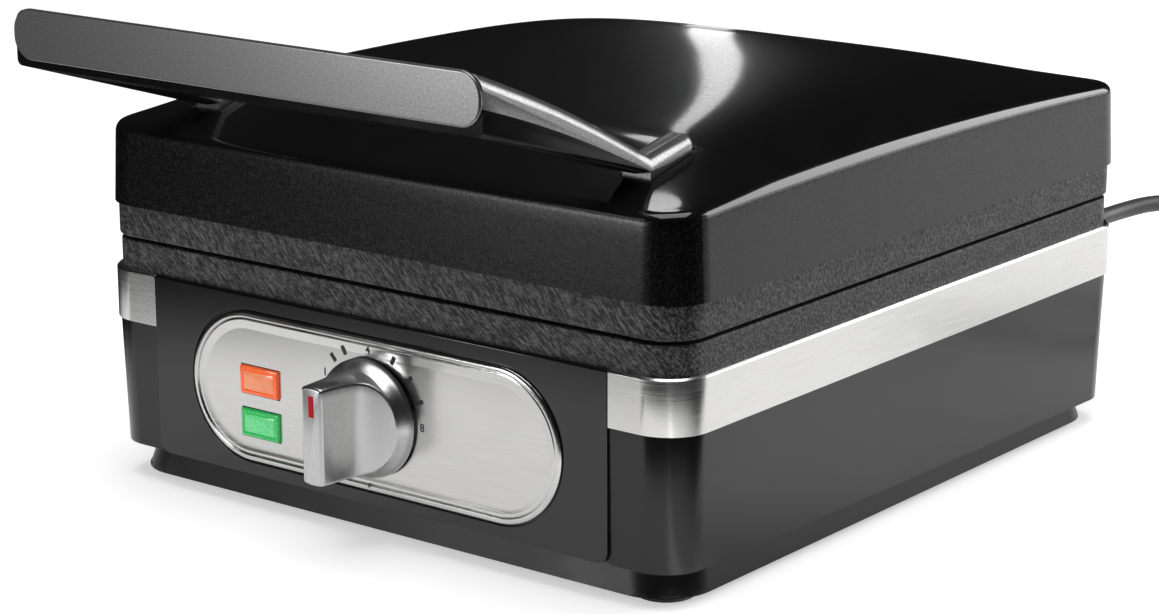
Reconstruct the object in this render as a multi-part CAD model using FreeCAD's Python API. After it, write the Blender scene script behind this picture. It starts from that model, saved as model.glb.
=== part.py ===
import FreeCAD, Part
import math
import os

from FreeCAD import Vector

# Four-slice waffle maker, closed. Millimetres, +Z up, the front with its dial faces -Y.
# Everything is drawn about the middle of the housing, then moved so that the frame's
# origin is the middle of the footprint, handle and cord outlet included, at table level.

# ---- Driving dimensions -------------------------------------------------------------
WIDTH = 300.0                 # over the steel band, left to right
DEPTH = 332.0                 # over the steel band, front to rear
CORNER_R = 18.0               # upright corners, seen from above
FIT_GAP = 0.3                 # gap between pieces that do not touch
RUN_GAP = 0.05                # radial gap of a pin or shaft that turns

FOOT_DROP = 2.0               # rubber feet below the plinth
FOOT_R = 13.0
FOOT_TAPER = 1.5
FOOT_SEAT = 1.5               # feet sunk into the plinth
FOOT_INSET = 22.0             # foot centre from the band's faces
PLINTH_INSET = 6.3            # plinth at the table, inside the band
PLINTH_FLARE = 2.6            # plinth narrows upward by this much a side
COVER_T = 2.5
COVER_WALL_TOP = 22.0
LEDGE_INSET = 6.4             # rim of the cover, just inside the housing

BODY_INSET = 1.0              # housing inside the band
SIDE_DRAFT = 2.0              # housing narrows towards the table, each side
FRONT_DRAFT = 0.6             # the same at front and rear
BODY_BOTTOM_FRONT = 14.4
BODY_BOTTOM_REAR = 10.4
WALL = 2.6

BAND_BOTTOM = 68.0
BAND_HEIGHT = 22.0
BAND_T = 1.2
BAND_BEVEL = 0.9

LOWER_COLLAR_H = 11.9
UPPER_COLLAR_H = 13.2
SEAM_GAP = 1.6
COLLAR_INSET = 2.5            # lower collar inside the band
UPPER_COLLAR_INSET = 1.8
COLLAR_EDGE = 0.8             # rounded collar edges at the seam

FASCIA_SIDE = 33.0            # band and housing that show beside the fascia
FASCIA_T = 3.0
FASCIA_EDGE_R = 5.0
FASCIA_BACK_T = 3.0           # housing frame behind the fascia
FASCIA_FRAME_W = 10.0

PLATE_LENGTH = 191.6          # control plate
PLATE_HEIGHT = 62.4
PLATE_T = 1.2
PLATE_Z = 51.6
PLATE_RIM_W = 1.6
PLATE_RIM_H = 0.9
PLATE_MOAT = 0.9              # dark gap round the control plate

LENS_W = 20.0
LENS_H = 11.4
LENS_IN = 37.3                # lamp centre from the plate's left end
LENS_Z = (54.6, 36.6)
LENS_OUT = 1.6
LENS_BEVEL = 1.2
LAMP_R = 6.0
HOLDER_LIP, HOLDER_T = 1.5, 2.0
LAMP_DEPTH = 18.0

KNOB_Z = 50.5
KNOB_R = 24.0
KNOB_SKIRT_H = 4.5
KNOB_CONE_R = 19.8
KNOB_STANDOFF = 1.2           # skirt above the control plate
KNOB_TALL = 32.0
BLADE_W = 10.4
BLADE_ROOT_W = 15.0
SCOOP_FLOOR = 8.0
POINTER_W = 2.4
POINTER_L = 8.4
POINTER_DOWN = 3.6            # pointer below the blade's top
POINTER_OUT, POINTER_IN = 0.2, 1.2
SHAFT_R = 3.0
BUSH_R = 5.0
BUSH_BORE_OUT = 2.0           # bushing stands out of the fascia

THERMO_W = 34.0
THERMO_H = 26.0
THERMO_D = 22.0
BRACKET_T = 1.5
BRACKET_W = 54.0

LID_SIDE = 33.2               # lid's side wall at the front
LID_DRAFT = 0.045             # lid narrows upward, millimetres a millimetre
LID_WALL = 2.6
LID_RIM_R = 2.5
RIM_CROWN = 4.3               # side rims rise above the front rim
RIM_CROWN_Y = 25.0
RIM_REAR_FALL = 2.9
CREASE_IN = 58.0              # the lid's front slope ends here, behind the band's front
CREASE_RISE = 16.3            # above the front rim
DOME_RISE = 19.4
DOME_Y = 10.0
SHOULDER_FRONT = 8.0          # how square the lid's shoulders are
SHOULDER_REAR = 3.2

COOK_SIDE = 20.0              # cooking plate's flange inside the band, each side
COOK_END = 24.0               # the same at front and rear
COOK_R = 12.0
COOK_FLANGE_W = 5.0
COOK_FLANGE_T = 4.0
COOK_SUNK = 0.4               # plate rim below the collar's edge
COOK_FLOOR = 13.0             # waffle depth below the rim
COOK_SKIN = 3.0
WAFFLE_EDGE_X = 12.0          # waffles from the flange's edge, left and right
WAFFLE_EDGE_Y = 14.0
WAFFLE_R = 5.0
WAFFLE_BRIDGE = 8.0           # bar between two waffles
WAFFLE_DRAFT = 1.6
PEG_PITCH = 29.5              # about, then evened out over the waffle
PEG_HEIGHT = 9.5
PEG_ROOT = 19.0
PEG_TIP = 14.6
GUTTER_W = 3.0                # overflow gutter round the four waffles
GUTTER_D = 1.6
BOSS_R = 5.0
BOSS_IN_X = 64.0              # tray's screw bosses from the flange's edge
BOSS_IN_Y = 70.0

HEATER_R = 3.3
HEATER_IN = 38.0              # element's loop from the flange's edge
HEATER_BEND = 26.0
HEATER_GAP = 28.0             # between the element's two cold ends
HEATER_TAIL = 16.0

TRAY_T = 0.8
TRAY_DEEP = 28.7              # tray bottom from the seam's middle
SCREW_R = 1.6
SCREW_HEAD_R = 3.2
SCREW_HEAD_H = 1.8

HANDLE_REACH = 70.0           # grip's face in front of the band
HANDLE_SIDE = 33.5            # handle's side from the band's
ARM_W = 13.0
GRIP_DEEP = 21.0
GRIP_TOP = 210.0
GRIP_FACE_H = 20.0
FACE_T = 1.4
FACE_R = 9.0
GRIP_CORNER_R = 6.0           # inner corners between grip and arms
GRIP_LIP = 2.8                # black underside below the face
ARM_TOP_DOWN = 0.8            # arms' upper line below the grip's top
ARM_LOW_DOWN = 12.8           # arms' lower line below the grip's top
ARM_TOP_BOW = (1.3, 1.7)      # arms' upper curve from the middle of its chord
ARM_LOW_BOW = (2.8, 1.2)
ELBOW_TOP_IN, ELBOW_TOP_Z = 30.0, 164.6   # elbow behind the band's front, and its height
ELBOW_LOW_IN, ELBOW_LOW_Z = 27.0, 159.0
ELBOW_FOOT_IN = 35.0          # where the arm ends inside its foot
FOOT_END_IN = 56.0            # rear end of the feet behind the band's front
FOOT_SLOPE = 0.27
FOOT_TOP = 7.4                # handle foot above the pocket's floor
POCKET_GAP = 0.9
HANDLE_EDGE = 5.5             # rounding along the top of grip and arms
HALF_ARM_T = 5.0              # about half the arm's thickness
FOOT_EDGE = 4.5               # rounding of the feet
UNDER_EDGE = 2.5              # rounding of the black underside
UNDER_END_IN = 20.0           # rear end of the underside behind the band's front
UNDER_END_DROP = 2.3          # and how far it is below the arm's lower chord

PIVOT_BACK = 9.0              # hinge pin behind the band
HINGE_SIDE = 62.0             # hinge's middle from the band's side
PIN_R = 3.0
KNUCKLE_R = 7.0
KNUCKLE_W = 17.4
EAR_T = 5.0
HINGE_PLATE_T = 3.0
HINGE_PLATE_LOW = 60.0
HINGE_PLATE_TOP = 96.0
LID_LEAF_LOW = 119.0
LID_LEAF_TOP = 141.0
LEAF_SCREW_X = 8.5            # lid leaf's screws beside its middle
LEAF_SCREW_Z = 134.0

GLAND_SIDE = 27.6             # cord outlet from the band's side
GLAND_Z = 81.2
GLAND_FLANGE_R = 7.5
GLAND_FLANGE_T = 2.5
GLAND_ROOT_R = 6.2
GLAND_TIP_R = 4.7
GLAND_LONG = 30.0
GLAND_NECK_R = 5.6
CORD_D = 7.5

PLUG_R = 18.5
PLUG_LONG = 34.0
PLUG_NECK = 22.0
PLUG_BACK_R = 11.0
PIN_PLUG_R = 2.4
PIN_PLUG_L = 19.0
PIN_PITCH = 19.0
COIL_MEAN_R = 40.0

# ---- Levels and places worked out from the above ------------------------------------
HALF_W = WIDTH / 2
HALF_D = DEPTH / 2
BAND_TOP = BAND_BOTTOM + BAND_HEIGHT
SEAM_LOW = BAND_TOP + LOWER_COLLAR_H
SEAM_HIGH = SEAM_LOW + SEAM_GAP
SEAM_MID = (SEAM_LOW + SEAM_HIGH) / 2
LID_BOTTOM = SEAM_HIGH + UPPER_COLLAR_H
RIM_Z = LID_BOTTOM + LID_SIDE
PIVOT_Y = HALF_D + PIVOT_BACK
PANEL_Y = -HALF_D                          # face of the fascia
PLATE_Y = PANEL_Y                          # face of the control plate
GLAND_END = HALF_D + GLAND_LONG
CREASE_Y = CREASE_IN - HALF_D
FOOT_END_Y = FOOT_END_IN - HALF_D
ORIGIN_Y = (-HALF_D - HANDLE_REACH + GLAND_END) / 2
FASCIA_HALF = HALF_W - FASCIA_SIDE
HANDLE_HALF = HALF_W - HANDLE_SIDE
HINGE_X = HALF_W - HINGE_SIDE
GLAND_X = HALF_W - GLAND_SIDE
LENS_X = LENS_IN - PLATE_LENGTH / 2
COOK_X = WIDTH - 2 * COOK_SIDE
COOK_Y = DEPTH - 2 * COOK_END
WAFFLE_X = COOK_X / 2 - WAFFLE_EDGE_X - WAFFLE_BRIDGE / 2
WAFFLE_Y = COOK_Y / 2 - WAFFLE_EDGE_Y - WAFFLE_BRIDGE / 2
PEGS_X = round(WAFFLE_X / PEG_PITCH)
PEGS_Y = round(WAFFLE_Y / PEG_PITCH)
BOSS_X = COOK_X / 2 - BOSS_IN_X
BOSS_Y = COOK_Y / 2 - BOSS_IN_Y
HEATER_X = COOK_X / 2 - HEATER_IN
HEATER_Y = COOK_Y / 2 - HEATER_IN
CORNERS = [(-1, -1), (1, -1), (1, 1), (-1, 1)]


# ---- Helpers ------------------------------------------------------------------------
def rounded_wire(width, depth, radius, z):
    """Upright view of a rounded rectangle about the origin, as a closed wire at z."""
    hx, hy, k = width / 2, depth / 2, radius * (1 - math.sqrt(0.5))
    arcs = [((hx, hy - radius), (hx - k, hy - k), (hx - radius, hy)),
            ((-hx + radius, hy), (-hx + k, hy - k), (-hx, hy - radius)),
            ((-hx, -hy + radius), (-hx + k, -hy + k), (-hx + radius, -hy)),
            ((hx - radius, -hy), (hx - k, -hy + k), (hx, -hy + radius))]
    edges = []
    for i, (start, middle, end) in enumerate(arcs):
        edges.append(Part.Arc(Vector(*start, z), Vector(*middle, z), Vector(*end, z)).toShape())
        edges.append(Part.makeLine(Vector(*end, z), Vector(*arcs[(i + 1) % 4][0], z)))
    return Part.Wire(edges)


def rounded_block(width, depth, radius, low, high):
    face = Part.Face(rounded_wire(width, depth, radius, low))
    return face.extrude(Vector(0, 0, high - low))


def band_block(inset, low, high):
    """Block that follows the band's outline, moved in by inset all round."""
    return rounded_block(WIDTH - 2 * inset, DEPTH - 2 * inset, CORNER_R - inset, low, high)


def tapered_block(low_size, high_size, low_r, high_r, low, high):
    wires = [rounded_wire(*low_size, low_r, low), rounded_wire(*high_size, high_r, high)]
    return Part.makeLoft(wires, True, True)


def box(x0, x1, y0, y1, z0, z1):
    return Part.makeBox(x1 - x0, y1 - y0, z1 - z0, Vector(x0, y0, z0))


def rod(radius, start, end):
    start, end = Vector(*start), Vector(*end)
    return Part.makeCylinder(radius, (end - start).Length, start, end - start)


def side_profile(points, arcs, x0, x1):
    """Solid between x0 and x1 with the outline points (y, z); arcs maps the index of a
    leg's first point to the (y, z) that its arc passes through."""
    edges = []
    for i, start in enumerate(points):
        end = points[(i + 1) % len(points)]
        first, last = Vector(x0, *start), Vector(x0, *end)
        if i in arcs:
            edges.append(Part.Arc(first, Vector(x0, *arcs[i]), last).toShape())
        else:
            edges.append(Part.makeLine(first, last))
    return Part.Face(Part.Wire(edges)).extrude(Vector(x1 - x0, 0, 0))


def stadium(length, height, y0, y1, x=0.0, z=0.0):
    """Long rounded plate that stands upright, between y0 and y1."""
    r = height / 2
    straight = length / 2 - r
    middle = box(x - straight, x + straight, y0, y1, z - r, z + r)
    ends = [rod(r, (x + s * straight, y0, z), (x + s * straight, y1, z)) for s in (-1, 1)]
    return middle.fuse(ends).removeSplitter()


def upright_rect(width, height, radius, y0, y1, x=0.0, z=0.0):
    """Rounded rectangle that stands upright, between y0 and y1."""
    flat = rounded_block(width, height, radius, 0, y1 - y0)
    flat.rotate(Vector(0, 0, 0), Vector(1, 0, 0), 90)
    flat.translate(Vector(x, y1, z))
    return flat


def screw(head, tip):
    """Pan-head screw whose head stands behind the point head and whose tip is at tip."""
    head, tip = Vector(*head), Vector(*tip)
    along = (tip - head).normalize()
    shank = Part.makeCylinder(SCREW_R, (tip - head).Length, head, along)
    cap = Part.makeCylinder(SCREW_HEAD_R, SCREW_HEAD_H, head - along * SCREW_HEAD_H, along)
    return shank.fuse(cap).removeSplitter()


def screw_hole(head, tip):
    head, tip = Vector(*head), Vector(*tip)
    return Part.makeCylinder(SCREW_R, (tip - head).Length, head, tip - head)


def edges_where(shape, test):
    return [e for e in shape.Edges if test(e)]


def save(name, shape):
    shape = shape.copy()
    shape.translate(Vector(0, -ORIGIN_Y, 0))
    shape.exportStep("parts/" + name + ".step")


# ---- Housing, plinth and feet -------------------------------------------------------
HOUSING_TOP = BAND_TOP - BAND_T
COVER_FLOOR = FOOT_DROP + COVER_T
POST_IN_X, POST_IN_Y = 38.0, 42.0          # screw posts from the band's faces
BOTTOM_SCREW_IN = 9.0
PLINTH_R = CORNER_R + 4.0
VENT_W, VENT_LONG, VENT_PITCH, VENT_Y = 4.0, 48.0, 12.0, 62.0
VENTS = 12                                  # slots in each of the two rows
POSTS = [(sx * (HALF_W - POST_IN_X), sy * (HALF_D - POST_IN_Y)) for sx, sy in CORNERS]
POST_TOP = 42.0
RIB_T = 3.0
FRAME_Y = PANEL_Y + FASCIA_T                # back of the fascia
FRAME_BACK = FRAME_Y + FASCIA_BACK_T
WINDOW_HALF = FASCIA_HALF - FASCIA_FRAME_W
HINGE_SCREW_Z = (HINGE_PLATE_LOW + 5.0, BAND_BOTTOM + 15.0)
HINGE_SCREW_LONG = 10.0
HINGE_PADS_IN = 14.0
PAD_HALF = 12.0


def hinge_screw_places():
    return [(sx * HINGE_X, z) for sx in (-1, 1) for z in HINGE_SCREW_Z]


def housing_form(shrink, low, high_cut):
    """Outer form of the housing moved in by shrink: tapered below the band."""
    low_size = (WIDTH - 2 * (BODY_INSET + SIDE_DRAFT + shrink),
                DEPTH - 2 * (BODY_INSET + FRONT_DRAFT + shrink))
    high_size = (WIDTH - 2 * (BODY_INSET + shrink), DEPTH - 2 * (BODY_INSET + shrink))
    radius = CORNER_R - BODY_INSET - shrink
    lower = tapered_block(low_size, high_size, radius, radius, low, BAND_BOTTOM)
    upper = band_block(BAND_T + shrink, BAND_BOTTOM, high_cut)
    return lower.fuse(upper)


def base_housing():
    shell = housing_form(0, BODY_BOTTOM_REAR, HOUSING_TOP)
    shell = shell.cut(housing_form(WALL, BODY_BOTTOM_REAR, HOUSING_TOP + 1))
    reach = FASCIA_HALF + FASCIA_FRAME_W
    frame = box(-reach, reach, FRAME_Y, FRAME_BACK, BODY_BOTTOM_REAR, HOUSING_TOP)
    pads = [box(sx * HINGE_X - PAD_HALF, sx * HINGE_X + PAD_HALF, HALF_D - HINGE_PADS_IN,
                HALF_D - BAND_T - 1, HINGE_PLATE_LOW, HOUSING_TOP) for sx in (-1, 1)]
    below = side_profile([(-HALF_D, BODY_BOTTOM_FRONT), (HALF_D, BODY_BOTTOM_REAR), (HALF_D, 0),
                          (-HALF_D, 0)], {}, -HALF_W, HALF_W)
    shell = shell.fuse([frame] + pads).cut(below)
    for x, y in POSTS:
        post = rod(BOSS_R, (x, y, COVER_FLOOR), (x, y, POST_TOP))
        wall_x = math.copysign(HALF_W - BODY_INSET - SIDE_DRAFT, x)
        rib = box(min(x, wall_x), max(x, wall_x), y - RIB_T / 2, y + RIB_T / 2,
                  COVER_WALL_TOP + FIT_GAP, POST_TOP)
        shell = shell.fuse([post, rib])
        shell = shell.cut(screw_hole((x, y, COVER_FLOOR), (x, y, COVER_FLOOR + BOTTOM_SCREW_IN + 1)))
    recess = box(-FASCIA_HALF - FIT_GAP, FASCIA_HALF + FIT_GAP, -HALF_D - 1, FRAME_Y, 0, BAND_TOP)
    window = box(-WINDOW_HALF, WINDOW_HALF, -HALF_D - 1, FRAME_BACK + 1,
                 BODY_BOTTOM_FRONT + FASCIA_FRAME_W, HOUSING_TOP - FASCIA_FRAME_W / 2)
    outlet = rod(GLAND_NECK_R, (GLAND_X, HALF_D - 20, GLAND_Z), (GLAND_X, HALF_D + 1, GLAND_Z))
    holes = [screw_hole((x, HALF_D + 1, z), (x, HALF_D - HINGE_SCREW_LONG - 1, z))
             for x, z in hinge_screw_places()]
    return shell.cut([recess, window, outlet] + holes).removeSplitter()


def bottom_cover():
    outer_low = (WIDTH - 2 * PLINTH_INSET, DEPTH - 2 * PLINTH_INSET)
    outer_high = (outer_low[0] - 4 * PLINTH_FLARE, outer_low[1] - 4 * PLINTH_FLARE)
    outer = tapered_block(outer_low, outer_high, PLINTH_R, PLINTH_R, FOOT_DROP, COVER_WALL_TOP)
    inner = tapered_block([s - 2 * COVER_T for s in outer_low], [s - 2 * COVER_T for s in outer_high],
                          PLINTH_R, PLINTH_R - COVER_T, FOOT_DROP, COVER_WALL_TOP)
    inner = inner.common(box(-HALF_W, HALF_W, -HALF_D, HALF_D, COVER_FLOOR, COVER_WALL_TOP))
    ledge = band_block(LEDGE_INSET, COVER_WALL_TOP - COVER_T, COVER_WALL_TOP)
    cover = outer.fuse(ledge).cut(inner)
    slots = [box(x - VENT_W / 2, x + VENT_W / 2, y - VENT_LONG / 2, y + VENT_LONG / 2, 0, COVER_FLOOR + 1)
             for x in [(k - (VENTS - 1) / 2) * VENT_PITCH for k in range(VENTS)] for y in (-VENT_Y, VENT_Y)]
    seats = [rod(FOOT_R, (x, y, 0), (x, y, FOOT_DROP + FOOT_SEAT)) for x, y in foot_places()]
    screws = []
    for x, y in POSTS:
        screws.append(rod(SCREW_HEAD_R + FIT_GAP, (x, y, 0), (x, y, FOOT_DROP + SCREW_HEAD_H / 2)))
        screws.append(screw_hole((x, y, 0), (x, y, COVER_FLOOR + 1)))
    return cover.cut(slots + seats + screws)


def foot_places():
    return [(sx * (HALF_W - FOOT_INSET), sy * (HALF_D - FOOT_INSET)) for sx, sy in CORNERS]


def rubber_feet():
    feet = []
    for x, y in foot_places():
        low = Part.makeCone(FOOT_R - FOOT_TAPER, FOOT_R, FOOT_DROP, Vector(x, y, 0))
        feet.append(low.fuse(rod(FOOT_R, (x, y, FOOT_DROP), (x, y, FOOT_DROP + FOOT_SEAT))))
    return Part.makeCompound([f.removeSplitter() for f in feet])


def bottom_screws():
    head = FOOT_DROP + SCREW_HEAD_H / 2
    return Part.makeCompound([screw((x, y, head), (x, y, COVER_FLOOR + BOTTOM_SCREW_IN)) for x, y in POSTS])


def steel_band():
    outer = band_block(0, BAND_BOTTOM, BAND_TOP)
    top_edges = edges_where(outer, lambda e: e.BoundBox.ZMin > BAND_TOP - 0.01)
    outer = outer.makeChamfer(BAND_BEVEL, top_edges)
    inner = band_block(BAND_T, BAND_BOTTOM - 1, HOUSING_TOP)
    opening = band_block(COLLAR_INSET, HOUSING_TOP - 1, BAND_TOP + 1)
    front_gap = box(-FASCIA_HALF - FIT_GAP, FASCIA_HALF + FIT_GAP, -HALF_D - 1, CORNER_R - HALF_D,
                    BAND_BOTTOM - 1, BAND_TOP + 1)
    outlet = rod(GLAND_NECK_R, (GLAND_X, HALF_D - 9, GLAND_Z), (GLAND_X, HALF_D + 1, GLAND_Z))
    holes = [screw_hole((x, HALF_D + 1, z), (x, HALF_D - 9, z)) for x, z in hinge_screw_places()
             if z > BAND_BOTTOM]
    return outer.cut([inner, opening, front_gap, outlet] + holes)


# ---- Control panel ------------------------------------------------------------------
LENS_GAP = 0.2
BUSH_GAP = 0.1


def panel_holes():
    half = LENS_W / 2 + LENS_GAP
    rise = LENS_H / 2 + LENS_GAP
    holes = [box(LENS_X - half, LENS_X + half, PANEL_Y - 5, FRAME_Y + 1, z - rise, z + rise)
             for z in LENS_Z]
    holes.append(rod(BUSH_R + BUSH_GAP, (0, PANEL_Y - 5, KNOB_Z), (0, FRAME_Y + 1, KNOB_Z)))
    return holes


def control_fascia():
    low = BODY_BOTTOM_FRONT
    panel = box(-FASCIA_HALF, FASCIA_HALF, PANEL_Y, FRAME_Y, low, BAND_TOP)
    bottom_corners = edges_where(panel, lambda e: e.BoundBox.YLength > FASCIA_T - 0.1
                                 and e.BoundBox.ZMax < low + 1)
    panel = panel.makeFillet(FASCIA_EDGE_R, bottom_corners)
    top_edge = edges_where(panel, lambda e: e.BoundBox.XLength > WIDTH / 2
                           and e.BoundBox.ZMin > BAND_TOP - 0.01 and e.BoundBox.YMax < PANEL_Y + 0.1)
    panel = panel.makeChamfer(BAND_BEVEL, top_edge)
    moat = stadium(PLATE_LENGTH + 2 * PLATE_MOAT, PLATE_HEIGHT + 2 * PLATE_MOAT, PANEL_Y - 1,
                   PANEL_Y + PLATE_T, 0, PLATE_Z)
    return panel.cut([moat, band_block(COLLAR_INSET, HOUSING_TOP, BAND_TOP + 1)] + panel_holes())


def control_plate():
    plate = stadium(PLATE_LENGTH, PLATE_HEIGHT, PLATE_Y, PLATE_Y + PLATE_T, 0, PLATE_Z)
    inset = 0.0
    for width, height in ((PLATE_RIM_W, PLATE_RIM_H), (PLATE_RIM_W / 2, PLATE_RIM_H / 2)):
        outer = stadium(PLATE_LENGTH - 2 * inset, PLATE_HEIGHT - 2 * inset, PLATE_Y - height, PLATE_Y,
                        0, PLATE_Z)
        front = edges_where(outer, lambda e: e.BoundBox.YMax < PLATE_Y - height + 0.01)
        outer = outer.makeChamfer(height / 3, front)
        inset += width
        inner = stadium(PLATE_LENGTH - 2 * inset, PLATE_HEIGHT - 2 * inset, PLATE_Y - height - 1,
                        PLATE_Y, 0, PLATE_Z)
        plate = plate.fuse(outer.cut(inner))
        inset += PLATE_RIM_W / 3
    return plate.cut(panel_holes()).removeSplitter()


def lens(z):
    block = box(LENS_X - LENS_W / 2, LENS_X + LENS_W / 2, PANEL_Y - LENS_OUT, FRAME_Y, z - LENS_H / 2,
                z + LENS_H / 2)
    front = edges_where(block, lambda e: e.BoundBox.YMax < PANEL_Y - LENS_OUT + 0.01)
    return block.makeChamfer(LENS_BEVEL, front)


def lamp_holders():
    holders = []
    for z in LENS_Z:
        reach, rise = LENS_W / 2 + HOLDER_LIP, LENS_H / 2 + HOLDER_LIP
        flange = box(LENS_X - reach, LENS_X + reach, FRAME_Y, FRAME_Y + HOLDER_T, z - rise, z + rise)
        barrel = rod(LAMP_R, (LENS_X, FRAME_Y + HOLDER_T, z), (LENS_X, FRAME_Y + LAMP_DEPTH, z))
        holders.append(flange.fuse(barrel).removeSplitter())
    return Part.makeCompound(holders)


SHAFT_IN = FRAME_Y + 14.0
TAB_HALF, TAB_T, TAB_LONG = 3.0, 0.8, 8.0   # thermostat's flat terminals
EAR_LONG = 9.0
KNOB_BACK = PLATE_Y - KNOB_STANDOFF
KNOB_FRONT = KNOB_BACK - KNOB_TALL
SHAFT_OUT = KNOB_BACK - 16.0
KNOB_TAPER = 0.8                           # knob's body widens towards the skirt
SKIRT_EDGE, BLADE_EDGE = 1.2, 0.9
BLADE_STRAIGHT = 9.0                       # blade's straight part above the scoop's floor
SCOOP_END = 3.0
SCOOP_BULGE = (2.2, 2.4)
BUSH_ROOM = (1.5, 3.0)                     # room round the bushing and over its end


def thermostat_body():
    back = FRAME_Y + BRACKET_T
    case = box(-THERMO_W / 2, THERMO_W / 2, back, back + THERMO_D, KNOB_Z - THERMO_H / 2,
               KNOB_Z + THERMO_H / 2)
    bush = rod(BUSH_R, (0, PLATE_Y - BUSH_BORE_OUT, KNOB_Z), (0, back, KNOB_Z))
    tabs = [box(sx * THERMO_W / 4 - TAB_HALF, sx * THERMO_W / 4 + TAB_HALF, back + THERMO_D,
                back + THERMO_D + TAB_LONG, KNOB_Z - TAB_T / 2, KNOB_Z + TAB_T / 2) for sx in (-1, 1)]
    bore = rod(SHAFT_R + RUN_GAP, (0, PLATE_Y - 10, KNOB_Z), (0, SHAFT_IN + 0.5, KNOB_Z))
    return case.fuse([bush] + tabs).cut(bore).removeSplitter()


def thermostat_bracket():
    plate = box(-BRACKET_W / 2, BRACKET_W / 2, FRAME_Y, FRAME_Y + BRACKET_T, KNOB_Z - THERMO_H / 2,
                KNOB_Z + THERMO_H / 2)
    ears = [box(sx * BRACKET_W / 2 - BRACKET_T / 2, sx * BRACKET_W / 2 + BRACKET_T / 2, FRAME_Y,
                FRAME_Y + EAR_LONG, KNOB_Z - THERMO_H / 2, KNOB_Z + THERMO_H / 2) for sx in (-1, 1)]
    hole = rod(BUSH_R + BUSH_GAP, (0, FRAME_Y - 1, KNOB_Z), (0, FRAME_Y + 5, KNOB_Z))
    return plate.fuse(ears).cut(hole).removeSplitter()


def thermostat_shaft():
    return rod(SHAFT_R, (0, SHAFT_OUT, KNOB_Z), (0, SHAFT_IN, KNOB_Z))


def knob_pointer():
    top = KNOB_Z + KNOB_CONE_R - POINTER_DOWN
    return box(-POINTER_W / 2, POINTER_W / 2, KNOB_FRONT - POINTER_OUT, KNOB_FRONT + POINTER_IN,
               top - POINTER_L, top)


def temperature_knob():
    outline = [(0, KNOB_BACK), (KNOB_R, KNOB_BACK), (KNOB_R, KNOB_BACK - KNOB_SKIRT_H),
               (KNOB_CONE_R + KNOB_TAPER, KNOB_BACK - SCOOP_FLOOR), (KNOB_CONE_R, KNOB_FRONT),
               (0, KNOB_FRONT)]
    face = Part.Face(Part.makePolygon([Vector(r, y, KNOB_Z) for r, y in outline + outline[:1]]))
    knob = face.revolve(Vector(0, 0, KNOB_Z), Vector(0, 1, 0), 360)
    skirt = edges_where(knob, lambda e: abs(e.BoundBox.XLength - 2 * KNOB_R) < 0.1
                        and e.BoundBox.YMax < KNOB_BACK - 1)
    knob = knob.makeFillet(SKIRT_EDGE, skirt)
    floor = KNOB_BACK - SCOOP_FLOOR
    for sx in (-1, 1):
        plan = [(BLADE_W / 2, KNOB_FRONT - 1), (BLADE_ROOT_W / 2, floor - BLADE_STRAIGHT),
                (KNOB_CONE_R - SCOOP_END, floor), (KNOB_R + 2, floor), (KNOB_R + 2, KNOB_FRONT - 1)]
        corners = [Vector(sx * x, y, KNOB_Z - KNOB_R - 1) for x, y in plan]
        hollow = Vector(sx * (BLADE_ROOT_W / 2 + SCOOP_BULGE[0]), floor - SCOOP_BULGE[1],
                        KNOB_Z - KNOB_R - 1)
        edges = [Part.makeLine(corners[0], corners[1]),
                 Part.Arc(corners[1], hollow, corners[2]).toShape(),
                 Part.makeLine(corners[2], corners[3]), Part.makeLine(corners[3], corners[4]),
                 Part.makeLine(corners[4], corners[0])]
        scoop = Part.Face(Part.Wire(edges)).extrude(Vector(0, 0, 2 * KNOB_R + 2))
        knob = knob.cut(scoop)
    front = edges_where(knob, lambda e: e.BoundBox.YMax < KNOB_FRONT + 0.01)
    knob = knob.makeFillet(BLADE_EDGE, front)
    bush_room = rod(BUSH_R + BUSH_ROOM[0], (0, KNOB_BACK + 1, KNOB_Z), (0, KNOB_BACK - BUSH_ROOM[1], KNOB_Z))
    return knob.cut([bush_room, thermostat_shaft(), knob_pointer()])


# ---- Collars and cooking plates -----------------------------------------------------
COOK_RIM = SEAM_LOW - COOK_SUNK
COOK_UNDER = COOK_RIM - COOK_FLOOR - COOK_SKIN
LEDGE_Z = COOK_RIM - COOK_FLANGE_T
TRAY_Z = SEAM_MID - TRAY_DEEP
PAN_X = COOK_X - 2 * COOK_FLANGE_W
PAN_Y = COOK_Y - 2 * COOK_FLANGE_W
UPPER_COLLAR_BACK = LID_BOTTOM + 3.0
TRAY_MARGIN = 4.0
GUTTER_BANK = 2.0                          # flat between waffles and gutter
SADDLE_X, SADDLE_Y = 40.0, 50.0
PLATE_SCREW_IN = 8.0
HEATER_Z = COOK_UNDER - HEATER_R - FIT_GAP
SADDLE = 10.0


def to_upper(shape):
    """The same piece above the seam, upside down."""
    return shape.mirror(Vector(0, 0, SEAM_MID), Vector(0, 0, 1))


def collar_opening(back):
    """Room for a cooking plate in the lower collar, whose back face is at z = back."""
    wide = rounded_block(COOK_X + 2 * FIT_GAP, COOK_Y + 2 * FIT_GAP, COOK_R + FIT_GAP, LEDGE_Z,
                         SEAM_MID)
    narrow = rounded_block(PAN_X + 2 * FIT_GAP, PAN_Y + 2 * FIT_GAP, COOK_R, back - 1, LEDGE_Z)
    return wide.fuse(narrow)


def lower_collar():
    ring = band_block(COLLAR_INSET, HOUSING_TOP, SEAM_LOW)
    rim = edges_where(ring, lambda e: e.BoundBox.ZMin > SEAM_LOW - 0.01)
    return ring.makeFillet(COLLAR_EDGE, rim).cut(collar_opening(HOUSING_TOP))


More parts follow.
